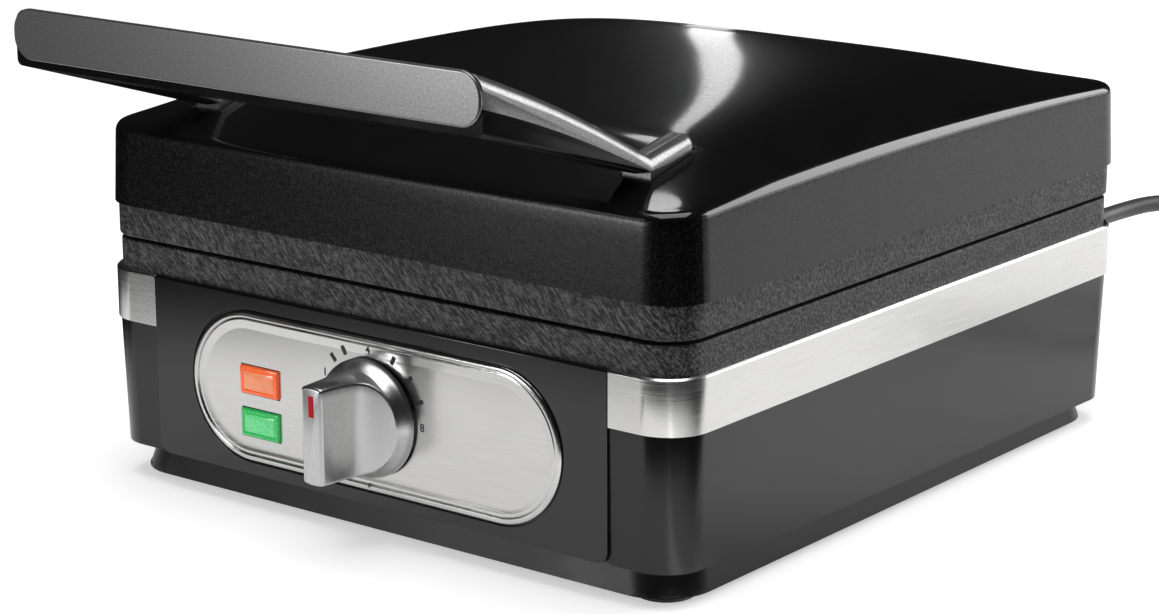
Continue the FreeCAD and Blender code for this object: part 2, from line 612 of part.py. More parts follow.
def upper_collar():
    ring = band_block(UPPER_COLLAR_INSET, SEAM_HIGH, LID_BOTTOM)
    rim = edges_where(ring, lambda e: e.BoundBox.ZMax < SEAM_HIGH + 0.01)
    ring = ring.makeFillet(COLLAR_EDGE, rim)
    tongue = band_block(LID_WALL + FIT_GAP, LID_BOTTOM, UPPER_COLLAR_BACK)
    opening = to_upper(collar_opening(2 * SEAM_MID - UPPER_COLLAR_BACK))
    return ring.fuse(tongue).cut(opening).removeSplitter()


def peg(x, y):
    """One square peg of the waffle grid, narrower at its tip."""
    floor = COOK_RIM - COOK_FLOOR
    wires = []
    for side, z in ((PEG_ROOT, floor), (PEG_TIP, floor + PEG_HEIGHT)):
        h = side / 2
        wires.append(Part.makePolygon([Vector(x + sx * h, y + sy * h, z)
                                       for sx, sy in CORNERS + CORNERS[:1]]))
    return Part.makeLoft(wires, True, True)


def cooking_plate():
    floor = COOK_RIM - COOK_FLOOR
    flange = rounded_block(COOK_X, COOK_Y, COOK_R, LEDGE_Z, COOK_RIM)
    pan = rounded_block(PAN_X, PAN_Y, COOK_R - 1, COOK_UNDER, LEDGE_Z)
    bosses = [rod(BOSS_R, (x, y, TRAY_Z + TRAY_T), (x, y, COOK_UNDER)) for x, y in plate_screws_xy()]
    plate = flange.fuse([pan] + bosses + heater_saddles()).removeSplitter()
    middles = [(sx * (WAFFLE_X + WAFFLE_BRIDGE) / 2, sy * (WAFFLE_Y + WAFFLE_BRIDGE) / 2)
               for sx, sy in CORNERS]
    wells, pegs = [], []
    for cx, cy in middles:
        well = tapered_block((WAFFLE_X - 2 * WAFFLE_DRAFT, WAFFLE_Y - 2 * WAFFLE_DRAFT),
                             (WAFFLE_X, WAFFLE_Y), WAFFLE_R, WAFFLE_R, floor, COOK_RIM)
        well.translate(Vector(cx, cy, 0))
        wells.append(well)
        for i in range(PEGS_X):
            for j in range(PEGS_Y):
                pegs.append(peg(cx + (i - (PEGS_X - 1) / 2) * WAFFLE_X / PEGS_X,
                                cy + (j - (PEGS_Y - 1) / 2) * WAFFLE_Y / PEGS_Y))
    around = [2 * size + WAFFLE_BRIDGE + 2 * GUTTER_BANK for size in (WAFFLE_X, WAFFLE_Y)]
    inner_r = WAFFLE_R + GUTTER_BANK
    gutter = rounded_block(around[0] + 2 * GUTTER_W, around[1] + 2 * GUTTER_W, inner_r + GUTTER_W,
                           COOK_RIM - GUTTER_D, COOK_RIM + 1)
    gutter = gutter.cut(rounded_block(*around, inner_r, COOK_RIM - GUTTER_D - 1, COOK_RIM + 1))
    holes = [screw_hole((x, y, TRAY_Z), (x, y, TRAY_Z + PLATE_SCREW_IN + 1)) for x, y in plate_screws_xy()]
    return plate.cut(wells + [gutter] + holes).fuse(pegs)


def heater_saddles():
    """Cast blocks on the plate's back that hold the heating element."""
    blocks = [box(sx * HEATER_X - SADDLE / 2, sx * HEATER_X + SADDLE / 2, y - SADDLE / 2,
                  y + SADDLE / 2, HEATER_Z, COOK_UNDER) for sx in (-1, 1) for y in (-SADDLE_Y, SADDLE_Y)]
    blocks += [box(x - SADDLE / 2, x + SADDLE / 2, -HEATER_Y - SADDLE / 2, -HEATER_Y + SADDLE / 2,
                   HEATER_Z, COOK_UNDER) for x in (-SADDLE_X, SADDLE_X)]
    return [b.cut(heating_element()) for b in blocks]


def plate_screws_xy():
    return [(sx * BOSS_X, sy * BOSS_Y) for sx, sy in CORNERS]


def plate_screws():
    return Part.makeCompound([screw((x, y, TRAY_Z), (x, y, TRAY_Z + PLATE_SCREW_IN))
                              for x, y in plate_screws_xy()])


def arc_path(points, radii):
    """Straight runs through the points, joined by tangent arcs of the given radii."""
    points = [Vector(*p) for p in points]
    edges, start = [], points[0]
    for before, corner, after, radius in zip(points, points[1:], points[2:], radii):
        back, ahead = (before - corner).normalize(), (after - corner).normalize()
        half_turn = (math.pi - back.getAngle(ahead)) / 2
        reach = radius * math.tan(half_turn)
        first, last = corner + back * reach, corner + ahead * reach
        bisector = (back + ahead).normalize()
        middle = corner + bisector * (radius / math.cos(half_turn) - radius)
        edges.append(Part.makeLine(start, first))
        edges.append(Part.Arc(first, middle, last).toShape())
        start = last
    edges.append(Part.makeLine(start, points[-1]))
    return Part.Wire(edges)


def tube_along(path, radius):
    first = path.Edges[0]
    start = first.valueAt(first.FirstParameter)
    along = first.tangentAt(first.FirstParameter)
    ring = Part.Wire(Part.makeCircle(radius, start, along))
    return path.makePipeShell([ring], True, False)


def heating_element():
    z = HEATER_Z
    gap = HEATER_GAP / 2
    route = [(-gap, HEATER_Y + HEATER_TAIL, z), (-gap, HEATER_Y, z), (-HEATER_X, HEATER_Y, z),
             (-HEATER_X, -HEATER_Y, z), (HEATER_X, -HEATER_Y, z), (HEATER_X, HEATER_Y, z),
             (gap, HEATER_Y, z), (gap, HEATER_Y + HEATER_TAIL, z)]
    radii = [HEATER_BEND / 2] + [HEATER_BEND] * 4 + [HEATER_BEND / 2]
    return tube_along(arc_path(route, radii), HEATER_R)


def reflector(back):
    """Thin tray under the element: its rim meets the collar's back face at z = back."""
    size = (PAN_X + 2 * TRAY_MARGIN, PAN_Y + 2 * TRAY_MARGIN)
    tray = rounded_block(*size, COOK_R, TRAY_Z, back)
    tray = tray.cut(rounded_block(size[0] - 2 * TRAY_T, size[1] - 2 * TRAY_T, COOK_R - TRAY_T,
                                  TRAY_Z + TRAY_T, back + 1))
    holes = [screw_hole((x, y, TRAY_Z - 1), (x, y, TRAY_Z + 2)) for x, y in plate_screws_xy()]
    return tray.cut(holes)


# ---- Lid and handle -----------------------------------------------------------------
RIM_HALF_W = HALF_W - LID_DRAFT * LID_SIDE
RIM_HALF_D = HALF_D - LID_DRAFT * LID_SIDE
CREASE_SOFT = 0.8                          # how softly the front slope meets the dome
REAR_FALL = 18.3
LID_POST_IN_X, LID_POST_IN_Y = 13.0, 66.0  # posts for the collar from the band's faces
LID_POSTS = [(sx * (HALF_W - LID_POST_IN_X), sy * (HALF_D - LID_POST_IN_Y)) for sx, sy in CORNERS]
LID_POST_R = 4.5
ARM_MID = HANDLE_HALF - ARM_W / 2
FOOT_SCREW_IN = (33.0, 48.0)               # handle's screws behind the band's front
HANDLE_PAD_Z = 150.5
HANDLE_SCREW_IN = 3.5                      # screws reach into the feet
HANDLE_PAD_HALF = 10.0                     # pad under each foot: half its width
HANDLE_PAD_IN = (20.0, 62.0)               # its ends behind the band's front
FLOOR_START = (ELBOW_LOW_IN - HALF_D, 155.0)   # front end of the handle pocket's floor
SHELL_FRONT = -HALF_D - HANDLE_REACH + FACE_T
GRIP_BACK = -HALF_D - HANDLE_REACH + GRIP_DEEP
ARM_TOP_START = GRIP_TOP - ARM_TOP_DOWN
ARM_LOW_START = GRIP_TOP - ARM_LOW_DOWN
ELBOW_TOP = (ELBOW_TOP_IN - HALF_D, ELBOW_TOP_Z)
ELBOW_LOW = (ELBOW_LOW_IN - HALF_D, ELBOW_LOW_Z)
ARM_FALL = (ELBOW_LOW_Z - ARM_LOW_START) / (ELBOW_LOW[0] - SHELL_FRONT)


def bowed(start_z, end, bow):
    """Point that an arm's curve passes through on its way from the grip to its end."""
    return (SHELL_FRONT + end[0]) / 2 + bow[0], (start_z + end[1]) / 2 + bow[1]


ARM_TOP_MID = bowed(ARM_TOP_START, ELBOW_TOP, ARM_TOP_BOW)
ARM_LOW_MID = bowed(ARM_LOW_START, ELBOW_LOW, ARM_LOW_BOW)


def ridge_height(y):
    """Height of the lid along its middle line."""
    front = RIM_Z + CREASE_RISE * (y + RIM_HALF_D) / (CREASE_Y + RIM_HALF_D)
    if y < DOME_Y:
        fall = (DOME_RISE - CREASE_RISE) * ((DOME_Y - y) / (DOME_Y - CREASE_Y)) ** 2
    else:
        fall = REAR_FALL * ((y - DOME_Y) / (HALF_D - DOME_Y)) ** 3
    dome = RIM_Z + DOME_RISE - fall
    low, high = min(front, dome), max(front, dome)
    return low - CREASE_SOFT * math.log(1 + math.exp((low - high) / CREASE_SOFT))


def rim_height(y):
    """Height of the lid's side rims."""
    if y < RIM_CROWN_Y:
        return RIM_Z + RIM_CROWN * (1 - ((RIM_CROWN_Y - y) / (RIM_CROWN_Y + HALF_D)) ** 2)
    return RIM_Z + RIM_CROWN - RIM_REAR_FALL * ((y - RIM_CROWN_Y) / (HALF_D - RIM_CROWN_Y)) ** 2


def lid_height(x, y):
    rear = (y + HALF_D) / DEPTH
    power = SHOULDER_FRONT + (SHOULDER_REAR - SHOULDER_FRONT) * rear
    rim = rim_height(y)
    return rim + (ridge_height(y) - rim) * (1 - (abs(x) / RIM_HALF_W) ** power)


def dome_face(lower):
    """The lid's top surface, moved down by lower."""
    across = [(HALF_W + 3) * math.sin(math.radians(11.25 * k)) for k in range(-8, 9)]
    along = [(HALF_D + 4) * k / 17 for k in range(-17, 18)]
    rows = [[Vector(x, y, lid_height(x, y) - lower) for x in across] for y in along]
    surface = Part.BSplineSurface()
    surface.interpolate(rows)
    return surface.toShape()


def lid_form(shrink):
    """Outer form of the lid, moved in by shrink on every side but the bottom."""
    top = RIM_Z + 30
    narrow = LID_DRAFT * (top - LID_BOTTOM)
    low_size = (WIDTH - 2 * shrink, DEPTH - 2 * shrink)
    high_size = (low_size[0] - 2 * narrow, low_size[1] - 2 * narrow)
    radius = CORNER_R - shrink
    block = tapered_block(low_size, high_size, radius, radius - narrow / 2, LID_BOTTOM, top)
    return block.common(dome_face(shrink).extrude(Vector(0, 0, -80)))


def pocket(x, gap):
    """Sloping hollow for a handle foot, whose underside lies on its floor."""
    y0, y1 = FLOOR_START[0] - gap, FOOT_END_Y + gap
    z0, z1 = foot_floor(y0), foot_floor(y1)
    outline = [(y0, z0), (y1, z1), (y1, z1 + 30), (y0, z0 + 30)]
    return side_profile(outline, {}, x - ARM_W / 2 - gap, x + ARM_W / 2 + gap)


def lid_shell():
    outer = lid_form(0)
    rim = edges_where(outer, lambda e: e.BoundBox.ZMin > RIM_Z - 2)
    outer = outer.makeFillet(LID_RIM_R, rim)
    shell = outer.cut(lid_form(LID_WALL))
    top = RIM_Z + DOME_RISE
    inside = [rod(LID_POST_R, (x, y, UPPER_COLLAR_BACK), (x, y, top)) for x, y in LID_POSTS]
    pad_front, pad_rear = (end - HALF_D for end in HANDLE_PAD_IN)
    for sx in (-1, 1):
        inside.append(box(sx * ARM_MID - HANDLE_PAD_HALF, sx * ARM_MID + HANDLE_PAD_HALF, pad_front,
                          pad_rear, HANDLE_PAD_Z, top))
        inside.append(box(sx * HINGE_X - PAD_HALF, sx * HINGE_X + PAD_HALF, HALF_D - HINGE_PADS_IN,
                          HALF_D, LID_LEAF_LOW + 2, LID_LEAF_TOP + 2))
    shell = shell.fuse([piece.common(outer) for piece in inside])
    cuts = [pocket(sx * ARM_MID, POCKET_GAP) for sx in (-1, 1)]
    cuts += [screw_hole((x, y, HANDLE_PAD_Z - 1), (x, y, RIM_Z + 25)) for x, y in foot_screws_xy()]
    cuts += [screw_hole((x, HALF_D + 1, z), (x, HALF_D - HINGE_SCREW_LONG - 1, z))
             for x, z in leaf_screw_places()]
    return shell.cut(cuts).removeSplitter()


def foot_floor(y):
    """Height of the pocket's floor, on which the handle's foot lies."""
    return FLOOR_START[1] + FOOT_SLOPE * (y - FLOOR_START[0])


def foot_screws_xy():
    return [(sx * ARM_MID, y_in - HALF_D) for sx in (-1, 1) for y_in in FOOT_SCREW_IN]


def leaf_screw_places():
    return [(sx * HINGE_X + side * LEAF_SCREW_X, LEAF_SCREW_Z) for sx in (-1, 1) for side in (-1, 1)]


def handle_opening():
    inner = HANDLE_HALF - ARM_W
    hollow = box(-inner, inner, GRIP_BACK, 0, LID_BOTTOM, GRIP_TOP + 1)
    corners = edges_where(hollow, lambda e: e.BoundBox.ZLength > 1 and e.BoundBox.YMax < GRIP_BACK + 1)
    return hollow.makeFillet(GRIP_CORNER_R, corners)


def handle_arms():
    """The grip and both arms, rounded along their upper edges, without the feet."""
    inside = ELBOW_FOOT_IN - HALF_D
    outline = [(SHELL_FRONT, ARM_LOW_START), (SHELL_FRONT, ARM_TOP_START), ELBOW_TOP,
               (inside, foot_floor(inside)), FLOOR_START, ELBOW_LOW]
    arms = side_profile(outline, {1: ARM_TOP_MID, 5: ARM_LOW_MID}, -HANDLE_HALF, HANDLE_HALF)
    arms = arms.cut(handle_opening())

    def along_top(edge):
        middle = edge.valueAt((edge.FirstParameter + edge.LastParameter) / 2)
        half_way = ARM_LOW_START + ARM_FALL * (middle.y - SHELL_FRONT) + HALF_ARM_T
        upright = edge.BoundBox.XLength + edge.BoundBox.YLength < 0.1
        return SHELL_FRONT + 1 < middle.y < ELBOW_TOP[0] - 1 and middle.z > half_way and not upright
    return arms.makeFillet(HANDLE_EDGE, edges_where(arms, along_top))


def handle_foot(x):
    """Foot of the arm whose middle is at x: a round-topped bar on the pocket's floor."""
    y0 = FLOOR_START[0]
    floor_end = foot_floor(FOOT_END_Y)
    top_slope = (floor_end + FOOT_TOP - ELBOW_TOP[1]) / (FOOT_END_Y - ELBOW_TOP[0])
    top_start = ELBOW_TOP[1] + top_slope * (y0 - ELBOW_TOP[0])
    outline = [FLOOR_START, (FOOT_END_Y, floor_end), (FOOT_END_Y, floor_end + FOOT_TOP), (y0, top_start)]
    foot = side_profile(outline, {}, x - ARM_W / 2, x + ARM_W / 2)
    ends = edges_where(foot, lambda e: e.BoundBox.YMin > FOOT_END_Y - 0.01 and e.BoundBox.XLength < 0.01)
    foot = foot.makeFillet(FOOT_EDGE, ends)
    top = edges_where(foot, lambda e: e.BoundBox.ZMin > top_start - 0.1
                      and e.BoundBox.YLength > ARM_W)
    return foot.makeFillet(FOOT_EDGE, top)


def handle_shell():
    shell = handle_arms().fuse([handle_foot(sx * ARM_MID) for sx in (-1, 1)])
    holes = [screw_hole((x, y, HANDLE_PAD_Z), (x, y, foot_floor(y) + HANDLE_SCREW_IN + 0.5))
             for x, y in foot_screws_xy()]
    return shell.cut(holes).removeSplitter()


def handle_underside():
    lip = GRIP_TOP - GRIP_FACE_H - GRIP_LIP
    end_z = ELBOW_LOW_Z + ARM_FALL * (UNDER_END_IN - ELBOW_LOW_IN) - UNDER_END_DROP
    outline = [(SHELL_FRONT, lip), (SHELL_FRONT, ARM_LOW_START), ELBOW_LOW,
               (UNDER_END_IN - HALF_D, end_z)]
    under = side_profile(outline, {1: ARM_LOW_MID}, -HANDLE_HALF, HANDLE_HALF)
    low_sides = edges_where(under, lambda e: e.BoundBox.XLength < 0.01
                            and abs(e.BoundBox.ZMax - lip) < 0.1 and e.BoundBox.YLength > ARM_W)
    return under.makeFillet(UNDER_EDGE, low_sides).cut(handle_opening())


def handle_grip_plate():
    middle = GRIP_TOP - GRIP_FACE_H / 2
    face = upright_rect(2 * HANDLE_HALF, GRIP_FACE_H, FACE_R, SHELL_FRONT - FACE_T, SHELL_FRONT, 0,
                        middle)
    front = edges_where(face, lambda e: e.BoundBox.YMax < SHELL_FRONT - FACE_T + 0.01)
    return face.makeFillet(0.8, front)


def handle_screws():
    return Part.makeCompound([screw((x, y, HANDLE_PAD_Z), (x, y, foot_floor(y) + HANDLE_SCREW_IN))
                              for x, y in foot_screws_xy()])


# ---- Hinges -------------------------------------------------------------------------
BASE_EAR = [(0.5, -20.0), (0.5, 0.0), (14.0, 0.0), (13.0, -3.7), (3.0, -22.0)]
LID_ARM = [(0.0, 20.0), (-1.4, 16.3), (-1.4, 3.3), (1.5, -4.3), (7.0, 0.0), (13.3, 3.1), (3.0, 22.0)]
EAR_BACK = PIVOT_Y - KNUCKLE_R             # rear face line that the ears grow from


def knuckle(x, half_width, outline):
    """Ring about the pivot, half_width to each side of x, with its arm's outline."""
    ring = rod(KNUCKLE_R, (x - half_width, PIVOT_Y, SEAM_MID), (x + half_width, PIVOT_Y, SEAM_MID))
    points = [(EAR_BACK + y, SEAM_MID + z) for y, z in outline]
    return ring.fuse(side_profile(points, {}, x - half_width, x + half_width))


def pivot_rod(x, radius, grow):
    reach = KNUCKLE_W / 2 + FIT_GAP + EAR_T + grow
    return rod(radius, (x - reach, PIVOT_Y, SEAM_MID), (x + reach, PIVOT_Y, SEAM_MID))


def base_hinge(sx):
    x = sx * HINGE_X
    half = KNUCKLE_W / 2 + FIT_GAP + EAR_T
    plate = box(x - half, x + half, HALF_D, HALF_D + HINGE_PLATE_T, HINGE_PLATE_LOW, HINGE_PLATE_TOP)
    ears = [knuckle(x + side * (half - EAR_T / 2), EAR_T / 2, BASE_EAR) for side in (-1, 1)]
    holes = [screw_hole((x, HALF_D + 10, z), (x, HALF_D - 1, z)) for z in HINGE_SCREW_Z]
    return plate.fuse(ears).cut(holes + [pivot_rod(x, PIN_R, 1)]).removeSplitter()


def lid_hinge(sx):
    x = sx * HINGE_X
    half = KNUCKLE_W / 2 + FIT_GAP + EAR_T
    leaf = box(x - half, x + half, HALF_D - 4, HALF_D + HINGE_PLATE_T, LID_LEAF_LOW, LID_LEAF_TOP)
    arm = knuckle(x, KNUCKLE_W / 2, LID_ARM)
    holes = [screw_hole((hole_x, HALF_D + 10, z), (hole_x, HALF_D - 5, z))
             for hole_x, z in leaf_screw_places()]
    hinge = leaf.fuse(arm).cut([lid_form(0), pivot_rod(x, PIN_R + RUN_GAP, 1)] + holes)
    return hinge.removeSplitter()


def hinge_screws(places):
    return Part.makeCompound([screw((x, HALF_D + HINGE_PLATE_T, z), (x, HALF_D - HINGE_SCREW_LONG, z))
                              for x, z in places])


# ---- Mains cord ---------------------------------------------------------------------
CORD_R = CORD_D / 2
CORD_ROUTE = [(GLAND_X + x, GLAND_END + y, z)
              for x, y, z in ((0, 0, GLAND_Z), (0, 15, GLAND_Z), (5.6, 42, 82), (15, 72, 77),
                              (30, 102, 60), (51, 124, 36), (73, 134, 14), (95, 132, CORD_R),
                              (124, 126, CORD_R))]
COIL_CENTRE = (GLAND_X + 115.4, GLAND_END + 83.1)
NECK_MORE = 0.6                            # plug's neck round the cord
PIN_TIP = 0.6
TERMINAL_WAYS = 3
TERMINAL_PLACE, TERMINAL_PITCH, TERMINAL_WAY_W, TERMINAL_H = (58.0, 112.0), 12.0, 8.0, 7.0
CORNER_SHARE = 0.45                        # share of a run that its corner's arc takes


def cord_gland():
    flange = rod(GLAND_FLANGE_R, (GLAND_X, HALF_D, GLAND_Z),
                 (GLAND_X, HALF_D + GLAND_FLANGE_T, GLAND_Z))
    neck = rod(GLAND_NECK_R, (GLAND_X, HALF_D - 9, GLAND_Z), (GLAND_X, HALF_D, GLAND_Z))
    sleeve = Part.makeCone(GLAND_ROOT_R, GLAND_TIP_R, GLAND_LONG - GLAND_FLANGE_T,
                           Vector(GLAND_X, HALF_D + GLAND_FLANGE_T, GLAND_Z), Vector(0, 1, 0))
    return flange.fuse([neck, sleeve]).removeSplitter()


def cord_radii(route):
    radii = []
    for before, corner, after in zip(route, route[1:], route[2:]):
        before, corner, after = Vector(*before), Vector(*corner), Vector(*after)
        turn = (corner - before).getAngle(after - corner)
        shorter = min((corner - before).Length, (after - corner).Length)
        radii.append(CORNER_SHARE * shorter / math.tan(turn / 2))
    return radii


def mains_cord():
    radii = cord_radii(CORD_ROUTE)
    print("cord radii", [round(r, 1) for r in radii])
    return tube_along(arc_path(CORD_ROUTE, radii), CORD_R)


def cord_coil():
    x, y = COIL_CENTRE
    outer = rod(COIL_MEAN_R + CORD_D, (x, y, 0), (x, y, 2 * CORD_D))
    return outer.cut(rod(COIL_MEAN_R - CORD_D, (x, y, -1), (x, y, 2 * CORD_D + 1)))


def plug_place():
    """Where the cord leaves the coil's upper outer turn, and the middle of the plug's back."""
    start = Vector(COIL_CENTRE[0] + COIL_MEAN_R + CORD_R, COIL_CENTRE[1], 1.5 * CORD_D)
    return start, Vector(start.x, start.y - PLUG_NECK, PLUG_R)


def plug_body():
    """Moulded plug that lies on its side; its neck bends down to the cord."""
    start, back = plug_place()
    ahead = Vector(0, -1, 0)
    down = back - start
    neck = Part.makeCone(CORD_R + NECK_MORE, 0.7 * PLUG_BACK_R, down.Length + 1, start, down)
    grip = Part.makeCone(PLUG_BACK_R, PLUG_R, PLUG_LONG / 2, back, ahead)
    front = Part.makeCylinder(PLUG_R, PLUG_LONG / 2, back + ahead * (PLUG_LONG / 2), ahead)
    return neck.fuse([grip, front]).removeSplitter()


def plug_pins():
    back = plug_place()[1]
    tip_y = back.y - PLUG_LONG - PIN_PLUG_L
    pins = []
    for side in (-1, 1):
        x = back.x + side * PIN_PITCH / 2
        pin = rod(PIN_PLUG_R, (x, back.y - PLUG_LONG, back.z), (x, tip_y, back.z))
        pins.append(pin.makeChamfer(PIN_TIP, edges_where(pin, lambda e: e.BoundBox.YMax < tip_y + 0.01)))
    return Part.makeCompound(pins)


def terminal_block():
    """Three-way block on the cover's floor where the cord's cores end."""
    x0, y0 = TERMINAL_PLACE
    step = COVER_FLOOR + TERMINAL_H
    base = box(x0, x0 + TERMINAL_WAYS * TERMINAL_PITCH, y0, y0 + TERMINAL_PITCH, COVER_FLOOR, step)
    edge = (TERMINAL_PITCH - TERMINAL_WAY_W) / 2
    ways = [box(x, x + TERMINAL_WAY_W, y0 + edge, y0 + TERMINAL_PITCH - edge, step, step + TERMINAL_H)
            for x in [x0 + edge + k * TERMINAL_PITCH for k in range(TERMINAL_WAYS)]]
    return base.fuse(ways).removeSplitter()


os.makedirs("parts", exist_ok=True)
save("base_housing", base_housing())
save("bottom_cover", bottom_cover())
save("rubber_feet", rubber_feet())
save("bottom_screws", bottom_screws())
save("steel_band", steel_band())
save("control_fascia", control_fascia())
save("control_plate", control_plate())
save("power_lens", lens(LENS_Z[0]))
save("ready_lens", lens(LENS_Z[1]))
save("lamp_holders", lamp_holders())
save("thermostat_body", thermostat_body())
save("thermostat_bracket", thermostat_bracket())
save("thermostat_shaft", thermostat_shaft())
save("temperature_knob", temperature_knob())
save("knob_pointer", knob_pointer())
save("terminal_block", terminal_block())
save("lower_collar", lower_collar())
save("upper_collar", upper_collar())
for name, plate, element, tray, screws in (
        ("lower", cooking_plate(), heating_element(), reflector(HOUSING_TOP), plate_screws()),
        ("upper", to_upper(cooking_plate()), to_upper(heating_element()),
         to_upper(reflector(2 * SEAM_MID - UPPER_COLLAR_BACK)), to_upper(plate_screws()))):
    save(name + "_cooking_plate", plate)
    save(name + "_heating_element", element)
    save(name + "_reflector", tray)
    save(name + "_plate_screws", screws)
save("lid_shell", lid_shell())
save("handle_shell", handle_shell())
save("handle_underside", handle_underside())
save("handle_grip_plate", handle_grip_plate())
save("handle_screws", handle_screws())
for side, sx in (("left", -1), ("right", 1)):
    save("base_hinge_" + side, base_hinge(sx))
    save("hinge_pin_" + side, pivot_rod(sx * HINGE_X, PIN_R, 0.5))
    save("lid_hinge_" + side, lid_hinge(sx))
save("base_hinge_screws", hinge_screws(hinge_screw_places()))
save("lid_hinge_screws", hinge_screws(leaf_screw_places()))
save("cord_gland", cord_gland())
save("mains_cord", mains_cord())
save("cord_coil", cord_coil())
save("plug_body", plug_body())
save("plug_pins", plug_pins())
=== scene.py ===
import math

import bmesh
import bpy
from mathutils import Matrix, Vector


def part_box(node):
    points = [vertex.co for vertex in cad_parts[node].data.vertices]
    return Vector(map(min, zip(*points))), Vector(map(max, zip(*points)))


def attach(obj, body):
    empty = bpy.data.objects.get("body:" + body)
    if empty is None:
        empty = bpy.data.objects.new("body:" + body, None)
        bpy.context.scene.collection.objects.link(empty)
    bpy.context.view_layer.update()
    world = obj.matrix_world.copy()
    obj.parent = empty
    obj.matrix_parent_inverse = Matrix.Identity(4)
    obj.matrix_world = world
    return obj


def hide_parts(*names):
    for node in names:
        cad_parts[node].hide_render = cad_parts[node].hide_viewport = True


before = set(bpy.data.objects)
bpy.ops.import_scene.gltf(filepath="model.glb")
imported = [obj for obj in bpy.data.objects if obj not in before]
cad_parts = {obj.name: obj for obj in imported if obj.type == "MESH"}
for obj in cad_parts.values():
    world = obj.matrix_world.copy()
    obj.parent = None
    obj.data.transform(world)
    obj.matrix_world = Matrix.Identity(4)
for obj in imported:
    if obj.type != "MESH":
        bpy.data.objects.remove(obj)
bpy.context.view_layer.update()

# Camera: three quarters from the front right, a little above the lid, with a long lens.
CAMERA_PLACE = (0.7684, -0.9953, 0.3948)
CAMERA_YAW, CAMERA_DIP, CAMERA_ROLL = 38.02, 14.71, -0.12
LENS_LENGTH, SENSOR_WIDTH = 94.69, 36.0
camera = bpy.data.cameras.new("camera")
camera.lens, camera.sensor_width = LENS_LENGTH, SENSOR_WIDTH
camera_object = bpy.data.objects.new("camera", camera)
camera_object.matrix_world = (Matrix.Translation(CAMERA_PLACE)
                              @ Matrix.Rotation(math.radians(CAMERA_YAW), 4, "Z")
                              @ Matrix.Rotation(math.radians(90 - CAMERA_DIP), 4, "X")
                              @ Matrix.Rotation(math.radians(CAMERA_ROLL), 4, "Z"))
bpy.context.scene.collection.objects.link(camera_object)
bpy.context.scene.camera = camera_object
bpy.context.scene.view_settings.view_transform = "Standard"


# Mains cord: a round 7.5 mm lead in dark grey PVC. It leaves the strain relief level,
# sags to the table and is wound there into a small coil for storage, four strands thick,
# whose upper strand ends in the plug.
MM = 0.001
MIDDLE_Y = 20.0                       # middle of the housing in the frame, in millimetres
CORD_D, CORD_LENGTH = 7.5, 1.03
OUTLET = (122.4, 196.0 + MIDDLE_Y, 81.2)
CORD_STEPS = ((0, 0, OUTLET[2]), (0, 15, OUTLET[2]), (5.6, 42, 82), (15, 72, 77), (30, 102, 60),
              (51, 124, 36), (73, 134, 14), (95, 132, CORD_D / 2), (124, 126, CORD_D / 2))
PLUG_STEP = (0.0, -7.0, 2.2)          # from the coil's end into the plug
COIL_HEART = (OUTLET[0] + 115.4, OUTLET[1] + 83.1)
COIL_MEAN, COIL_TURNS = 40.0, 3
TURN_POINTS = 18
LANE_CHANGE = 0.15                    # share of each lane in which the cord crosses to the next


def coil_points():
    """The coil's turns, clockwise: low outer, low inner, high inner, high outer."""
    outer, inner = COIL_MEAN + CORD_D / 2, COIL_MEAN - CORD_D / 2
    lanes = [(outer, CORD_D / 2), (inner, CORD_D / 2), (inner, 1.5 * CORD_D), (outer, 1.5 * CORD_D)]
    top = len(lanes) - 1
    start = math.atan2(OUTLET[1] + CORD_STEPS[-1][1] - COIL_HEART[1],
                       OUTLET[0] + CORD_STEPS[-1][0] - COIL_HEART[0])
    sweep = start + COIL_TURNS * math.tau
    count = round(sweep / math.tau * TURN_POINTS)
    points = []
    for k in range(1, count + 1):
        part = len(lanes) * k / count
        lane = min(int(part), top)
        blend = min(max((part - lane - 1 + LANE_CHANGE) / LANE_CHANGE, 0), 1) if lane < top else 0
        radius, z = [here + (there - here) * blend
                     for here, there in zip(lanes[lane], lanes[min(lane + 1, top)])]
        angle = start - sweep * k / count
        points.append((COIL_HEART[0] + radius * math.cos(angle),
                       COIL_HEART[1] + radius * math.sin(angle), z))
    return points


class Wire:
    """A shader value. Python's operators on it add Math nodes."""

    def __init__(self, nodes, socket):
        self.nodes, self.socket = nodes, socket

    def maths(self, operation, *values):
        return self.nodes.node("Math", {"operation": operation}, dict(enumerate(values)))

    def __add__(self, other):
        return self.maths("ADD", self, other)

    def __mul__(self, other):
        return self.maths("MULTIPLY", self, other)

    def __sub__(self, other):
        return self.maths("SUBTRACT", self, other)

    def __rsub__(self, other):
        return self.maths("SUBTRACT", other, self)

    def __abs__(self):
        return self.maths("ABSOLUTE", self)

    def or_more(self, other):
        return self.maths("MAXIMUM", self, other)

    __radd__, __rmul__ = __add__, __mul__


class Nodes:
    """Adds nodes to a tree, each from its type, its settings and what its sockets get."""

    def __init__(self, tree):
        self.tree = tree

    def feed(self, socket, value):
        if isinstance(value, Wire):
            self.tree.links.new(value.socket, socket)
        else:
            socket.default_value = value

    def node(self, kind, settings, sockets, out=0):
        made = self.tree.nodes.new("ShaderNode" + kind)
        for name, value in settings.items():
            setattr(made, name, value)
        for name, value in sockets.items():
            self.feed(made.inputs[name], value)
        return Wire(self, made.outputs[out])

    def ramp(self, value, low, high, dark=0.0, light=1.0):
        """Evens value out from dark at low to light at high."""
        return self.node("MapRange", {}, {0: value, 1: low, 2: high, 3: dark, 4: light})

    def mix(self, share, first, second):
        return self.node("Mix", {"data_type": "RGBA"}, {0: share, 6: first, 7: second}, 2)


